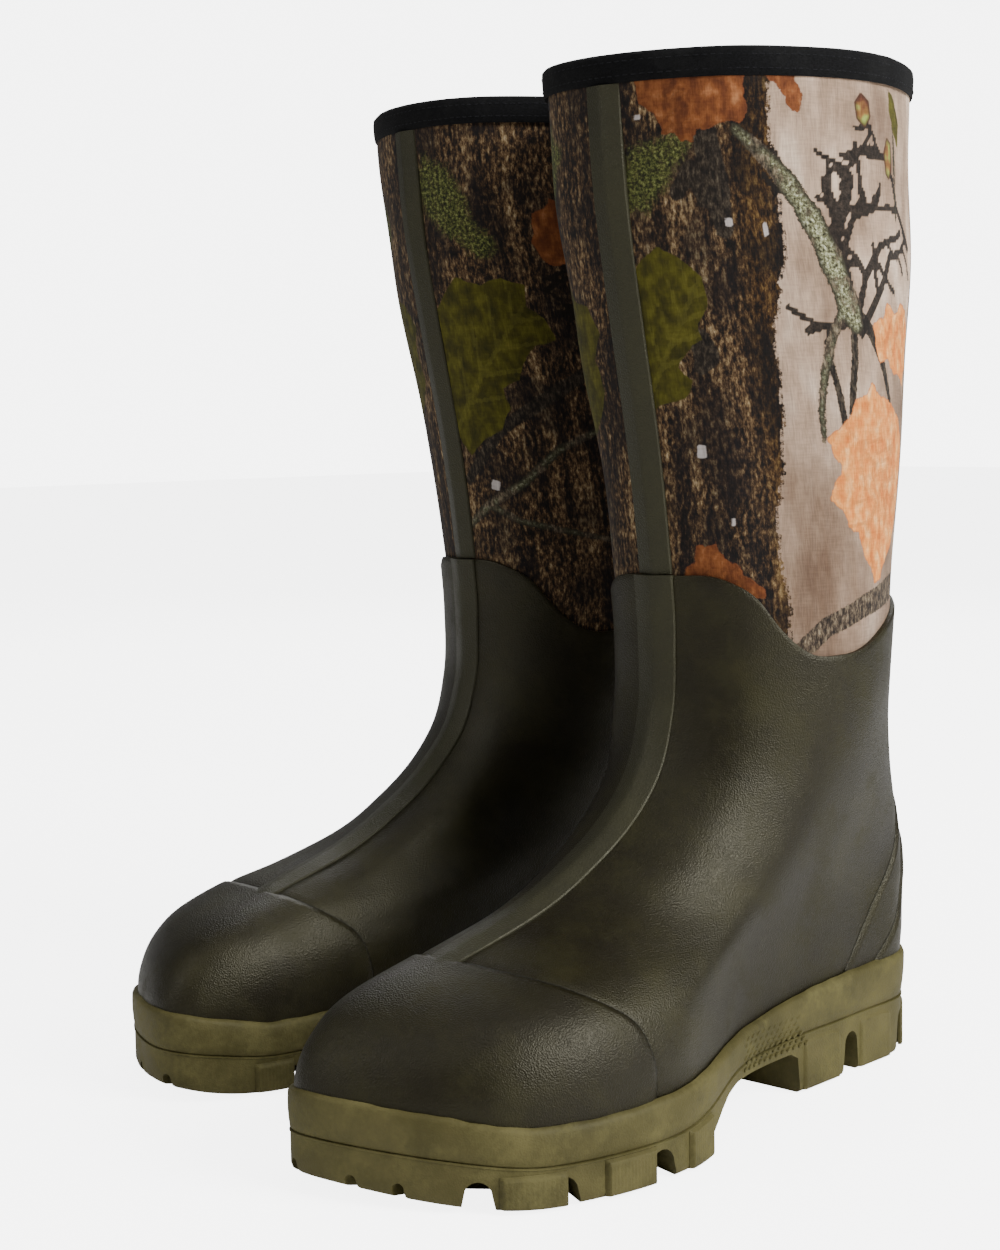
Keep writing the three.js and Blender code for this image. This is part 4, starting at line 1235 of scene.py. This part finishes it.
def finish_print():
    """The printed cloth: a hazy ground with bark, moss, branches, leaves and acorns over it."""
    material, tree, shader, _ = start_finish("woodland_print_cloth")
    cloth = attribute(tree, "cloth").outputs["Vector"]
    torn = maths(tree, "SUBTRACT", noise(tree, cloth, (1, 1, 1), 0.45, 4, 0.7), 0.5)
    fine = maths(tree, "SUBTRACT", noise(tree, cloth, (1, 1, 1), 1.6, 2), 0.5)

    def mask(name, tear, soft=0.3, grown=0.0):
        edge = plus(tree, attribute(tree, name).outputs["Fac"], grown)
        edge = plus(tree, edge, times(tree, torn, tear))
        edge = plus(tree, edge, times(tree, fine, tear * 0.35))
        return spread(tree, edge, -soft, soft)

    def depth_in(name, far):
        return spread(tree, attribute(tree, name).outputs["Fac"], 0.0, far)

    slow = noise(tree, cloth, (1, 0.5, 1), 0.035, 3)
    haze = ramp(tree, slow, [(0.3, "6b5443"), (0.44, "957d68"), (0.56, "b39a84"), (0.7, "d3bda8")])
    height = wire(tree, "ShaderNodeSeparateXYZ", {0: cloth})
    across, height = height.outputs[0], height.outputs[1]
    haze = blended(tree, spread(tree, height, 330, 200, 0.0, 0.45), haze, rgb("5a4535"))
    streaks = noise(tree, cloth, (1, 0.08, 1), 0.35, 3)
    haze = blended(tree, spread(tree, streaks, 0.35, 0.7, 0.0, 0.25), haze, rgb("66554a"))

    speck = noise(tree, cloth, (1, 0.42, 1), 0.62, 5, 0.72)
    tall = noise(tree, cloth, (1, 0.1, 1), 0.16, 3)
    grain = plus(tree, speck, times(tree, maths(tree, "SUBTRACT", tall, 0.5), 0.5))
    bark = ramp(tree, grain, [
        (0.36, "0c0a08"), (0.44, "211813"), (0.51, "43311f"), (0.58, "6b543a"), (0.66, "95805d"),
        (0.75, "b9a78a"),
    ])
    gloom = spread(tree, noise(tree, cloth, (1, 0.6, 1), 0.05, 3), 0.38, 0.58, 0.72, 0.0)
    bark = blended(tree, gloom, bark, rgb("120e10"))
    gold = spread(tree, noise(tree, cloth, (1, 0.4, 1), 0.03, 2), 0.3, 0.55, 0.0, 0.85)
    band = times(tree, spread(tree, across, 40, 56), spread(tree, across, 90, 76))
    bark = blended(tree, times(tree, gold, band), bark, rgb("716034"), "OVERLAY")
    picture = blended(tree, mask("print_bark", 2.6), haze, bark)

    moss_grain = noise(tree, cloth, (1, 1, 1), 0.7, 4, 0.7)
    moss = ramp(tree, moss_grain, [
        (0.38, "15160b"), (0.48, "33371a"), (0.57, "5f6430"), (0.68, "8d9059"),
    ])
    picture = blended(tree, times(tree, mask("print_moss", 9.0, 2.5), 0.85), picture, moss)

    dead_wood = ramp(tree, speck, [
        (0.36, "15110e"), (0.48, "3a3027"), (0.58, "695b49"), (0.7, "9a8b74"),
    ])
    branch = ramp(tree, moss_grain, [
        (0.36, "1c1b14"), (0.45, "514f37"), (0.53, "7f8160"), (0.6, "a6a78a"), (0.68, "d0cfb8"),
    ])
    round_edge = depth_in("print_branch", 3.6)
    branch = blended(tree, round_edge, rgb("2a271c"), branch)
    bare = spread(tree, noise(tree, cloth, (1, 0.7, 1), 0.09, 3), 0.42, 0.54, 0.8, 0.0)
    branch = blended(tree, bare, branch, dead_wood)
    dark = blended(tree, spread(tree, height, 205, 230, 0.0, 0.7), dead_wood, rgb("0c0a09"))
    picture = blended(tree, mask("print_dark", 2.4), picture, dark)
    picture = blended(tree, mask("print_twig", 0.35, 0.35, 0.28), picture, rgb("17120e"))
    picture = blended(tree, mask("print_branch", 3.2), picture, branch)

    leaf_grain = noise(tree, cloth, (1, 0.7, 1), 0.2, 5, 0.55)
    veins = mask("print_vein", 0.3, 0.25)
    for name, stops, vein_share, vein, rim_width, rim, tear in LEAVES:
        leaf = ramp(tree, leaf_grain, stops)
        leaf = blended(tree, times(tree, veins, vein_share), leaf, rgb(vein))
        if rim_width:
            leaf = blended(tree, depth_in(name, rim_width), rgb(rim), leaf)
        picture = blended(tree, mask(name, tear), picture, leaf)

    nut_grain = noise(tree, cloth, (1, 1, 1), 0.09, 2)
    nut = ramp(tree, nut_grain, [(0.4, "5a3320"), (0.5, "7e5a2e"), (0.6, "8d9a4a")])
    nut = blended(tree, depth_in("print_acorn", 2.5), rgb("3c2419"), nut)
    picture = blended(tree, mask("print_acorn", 0.4), picture, nut)
    picture = blended(tree, mask("print_chip", 0.6), picture, rgb("a8a09c"))

    weave = grouped(tree, WEAVE, {"Place": cloth, "Pitch": 1.0})
    # painted shade: the print darkens in the hollows between the knit's threads
    shade = spread(tree, weave["Shade"], 0.0, 1.0, 0.26, 0.0)
    picture = blended(tree, shade, picture, rgb("0f0c0a"))
    tree.links.new(picture, shader.inputs["Base Color"])
    tree.links.new(spread(tree, weave["Shade"], 0, 1, 0.92, 0.8), shader.inputs["Roughness"])
    shader.inputs["Specular IOR Level"].default_value = 0.18
    shader.inputs["Sheen Weight"].default_value = 0.04
    bumped(tree, shader, weave["Height"], 0.12, 0.8)
    return material


def finish_cloth(name, dark, light, pitch, depth=0.15):
    """Plain dyed cloth: tape, thread, knit lining or foam-backed jersey."""
    material, tree, shader, spot = start_finish(name)
    weave = grouped(tree, WEAVE, {"Place": spot, "Pitch": pitch})
    lint = grouped(tree, DUST, {"Place": spot, "Amount": 0.3})["Mask"]
    # painted shade: the dark colour lies in the hollows between threads, the light colour on their
    # tops
    colour = blended(tree, weave["Shade"], rgb(dark), rgb(light))
    colour = blended(tree, times(tree, lint, 0.3), colour, rgb("3a3a38"))
    tree.links.new(colour, shader.inputs["Base Color"])
    tree.links.new(spread(tree, weave["Shade"], 0, 1, 0.9, 0.8), shader.inputs["Roughness"])
    shader.inputs["Sheen Weight"].default_value = 0.02
    shader.inputs["Specular IOR Level"].default_value = 0.12
    bumped(tree, shader, weave["Height"], depth)
    return material


def finish_inside(name, dark, light, rough, metallic=0.0, scale=0.8):
    """Hidden parts that keep their CAD shape: foam, board and steel."""
    material, tree, shader, spot = start_finish(name, on_cad=True)
    grain = grouped(tree, GRAIN, {"Place": spot, "Scale": scale})
    colour = blended(tree, spread(tree, grain["Height"], 0.3, 1.3), rgb(dark), rgb(light))
    tree.links.new(colour, shader.inputs["Base Color"])
    worn = spread(tree, grain["Mottle"], 0.3, 0.7, rough, rough + 0.1)
    tree.links.new(worn, shader.inputs["Roughness"])
    shader.inputs["Metallic"].default_value = metallic
    bumped(tree, shader, grain["Height"], 0.1)
    return material


# ---- Build --------------------------------------------------------------------------------

rubber_moulded, rubber_strip = finish_upper_rubber(True), finish_upper_rubber(False)
khaki = finish_sole()
black_tape = finish_cloth("binding_tape_black", "020202", "08080a", 1.3)
black_thread = finish_cloth("thread_black", "0a0a0c", "1d1d20", 2.0)
knit = finish_cloth("lining_knit", "17181a", "33353a", 0.7, 0.2)
jersey = finish_cloth("foam_jersey_black", "0d0e0f", "232426", 0.8)
insert_cloth = finish_cloth("footbed_cloth", "1e2022", "45484c", 0.6, 0.25)

shape, seams = rubber_upper()
FOOT_RUBBER = (
    "rubber_foot_shell", "ankle_flex_rubber", "rubber_leg_shell", "toe_cap", "heel_counter",
)
add("rubber_upper", shape, rubber_moulded, "both", FOOT_RUBBER, {"seams": seams})
RIB = ("front_ridge_foot", "front_ridge_leg")
add("front_rib", front_rib(), rubber_strip, "both", RIB, crease=12)
add("front_strip", front_strip(), rubber_strip, "leg", ["front_strip"], crease=12)
add("rear_strip", rear_strip(), rubber_strip, "leg", ["rear_seam_tape"], crease=25)
add("kick_ledge", kick_ledge(), rubber_strip, "foot", ["kick_spur"])

shape, cloth = printed_leg()
PANELS = ("shaft_panel_outer", "shaft_panel_inner")
add("printed_leg", shape, finish_print(), "leg", PANELS,
    lambda side: {"cloth": cloth, **print_fields(cloth, side)})
add("knit_lining", lining(), knit, "both", ["lining_sock"])
BOOTIE = ("neoprene_foot", "ankle_flex_neoprene")
add("foam_bootie", bootie(), jersey, "both", BOOTIE)
add("cloth_footbed", footbed(), insert_cloth, "foot", ["footbed"])
add("top_binding", top_binding(), black_tape, "leg", ["top_binding"])
add("seam_stitches", seam_stitches(), black_thread, "leg", [])

add("lugged_outsole", cut_sole(), khaki, "foot", ["outsole"], crease=30)
add("lug_panels", lug_panels(), khaki, "foot", [], crease=30)
add("sole_side", sole_side(), khaki, "foot", ["sidewall_rand"])
add("arch_dashes", arch_dashes(), khaki, "foot", [])

INSIDE = {
    "midsole_foam": finish_inside("midsole_foam_grey", "8f8c80", "b5b2a6", 0.85),
    "insole_board": finish_inside("insole_board_fibre", "7d6647", "a58a62", 0.85, scale=1.5),
    "shank": finish_inside("shank_spring_steel", "6d7073", "8e9194", 0.35, 1.0, 2.0),
}
for node_name, node in frame["nodes"].items():
    for ending, finish in INSIDE.items():
        if node_name.endswith(ending):
            node.data.materials.clear()
            node.data.materials.append(finish)

# ---- Camera, light and floor --------------------------------------------------------------

CAMERA_AT = Vector((0.6798, -0.6232, 0.2671))
AZIMUTH, ELEVATION, ROLL = (math.radians(a) for a in (48.18, 5.27, -0.98))
backward = Vector((
    math.sin(AZIMUTH) * math.cos(ELEVATION),
    -math.cos(AZIMUTH) * math.cos(ELEVATION),
    math.sin(ELEVATION),
))
rightward = Vector((math.cos(AZIMUTH), math.sin(AZIMUTH), 0))
upward = backward.cross(rightward)
rolled_right = rightward * math.cos(ROLL) + upward * math.sin(ROLL)
rolled_up = upward * math.cos(ROLL) - rightward * math.sin(ROLL)
camera = bpy.data.objects.new("camera", bpy.data.cameras.new("camera"))
camera.data.sensor_width = 36
camera.data.lens = 64.94
facing = Matrix((rolled_right, rolled_up, backward)).transposed().to_4x4()
camera.matrix_world = Matrix.Translation(CAMERA_AT) @ facing
bpy.context.scene.collection.objects.link(camera)
bpy.context.scene.camera = camera


# how bright the bare floor and the backdrop look, and how much light the backdrop gives
FLOOR_GLOW, BACKDROP_SEEN, BACKDROP_LIGHT = 5.0, 6.0, 0.17
FLOOR_HALF = 8
LIGHT_TARGET = Vector((0, 0, 0.18))


def floor():
    mesh = bpy.data.meshes.new("floor")
    corners = [(x * FLOOR_HALF, y * FLOOR_HALF, 0) for x, y in ((-1, -1), (1, -1), (1, 1), (-1, 1))]
    mesh.from_pydata(corners, [], [(0, 1, 2, 3)])
    material, tree, shader, spot = start_finish("pale_floor", on_cad=True)
    cloud = noise(tree, spot, (1, 1, 1), 0.002, 3)
    pale = ramp(tree, cloud, [(0.3, "f0efed"), (0.7, "f7f6f4")])
    tree.links.new(pale, shader.inputs["Base Color"])
    shader.inputs["Roughness"].default_value = 0.8
    shader.inputs["Emission Color"].default_value = (1, 1, 1, 1)
    seen = wire(tree, "ShaderNodeLightPath").outputs["Is Camera Ray"]
    tree.links.new(times(tree, seen, FLOOR_GLOW), shader.inputs["Emission Strength"])
    mesh.materials.append(material)
    obj = bpy.data.objects.new("floor", mesh)
    obj.location.z = -0.0005
    bpy.context.scene.collection.objects.link(obj)


def soft_light(name, azimuth, elevation, away, size, power):
    """A square softbox aimed at the boots. Azimuth 0 is in front, as for the camera."""
    lamp = bpy.data.lights.new(name, "AREA")
    lamp.size, lamp.energy = size, power
    a, e = math.radians(azimuth), math.radians(elevation)
    way = Vector((math.sin(a) * math.cos(e), -math.cos(a) * math.cos(e), math.sin(e)))
    obj = bpy.data.objects.new(name, lamp)
    obj.location = LIGHT_TARGET + way * away
    obj.rotation_mode = "QUATERNION"
    obj.rotation_quaternion = way.to_track_quat("Z", "Y")
    bpy.context.scene.collection.objects.link(obj)


floor()
soft_light("key_right", 104, 30, 1.7, 0.9, 50)
soft_light("toe_left", -18, 32, 1.8, 0.5, 9)
soft_light("top_soft", 60, 82, 2.2, 1.6, 15)
soft_light("back_soft", 222, 30, 2.2, 1.2, 20)
world = bpy.data.worlds.new("studio")
bpy.context.scene.world = world
world.use_nodes = True
air = world.node_tree
seen = wire(air, "ShaderNodeLightPath").outputs["Is Camera Ray"]
strength = spread(air, seen, 0, 1, BACKDROP_LIGHT, BACKDROP_SEEN)
backdrop = air.nodes["Background"]
air.links.new(strength, backdrop.inputs["Strength"])
backdrop.inputs["Color"].default_value = (1, 1, 1, 1)
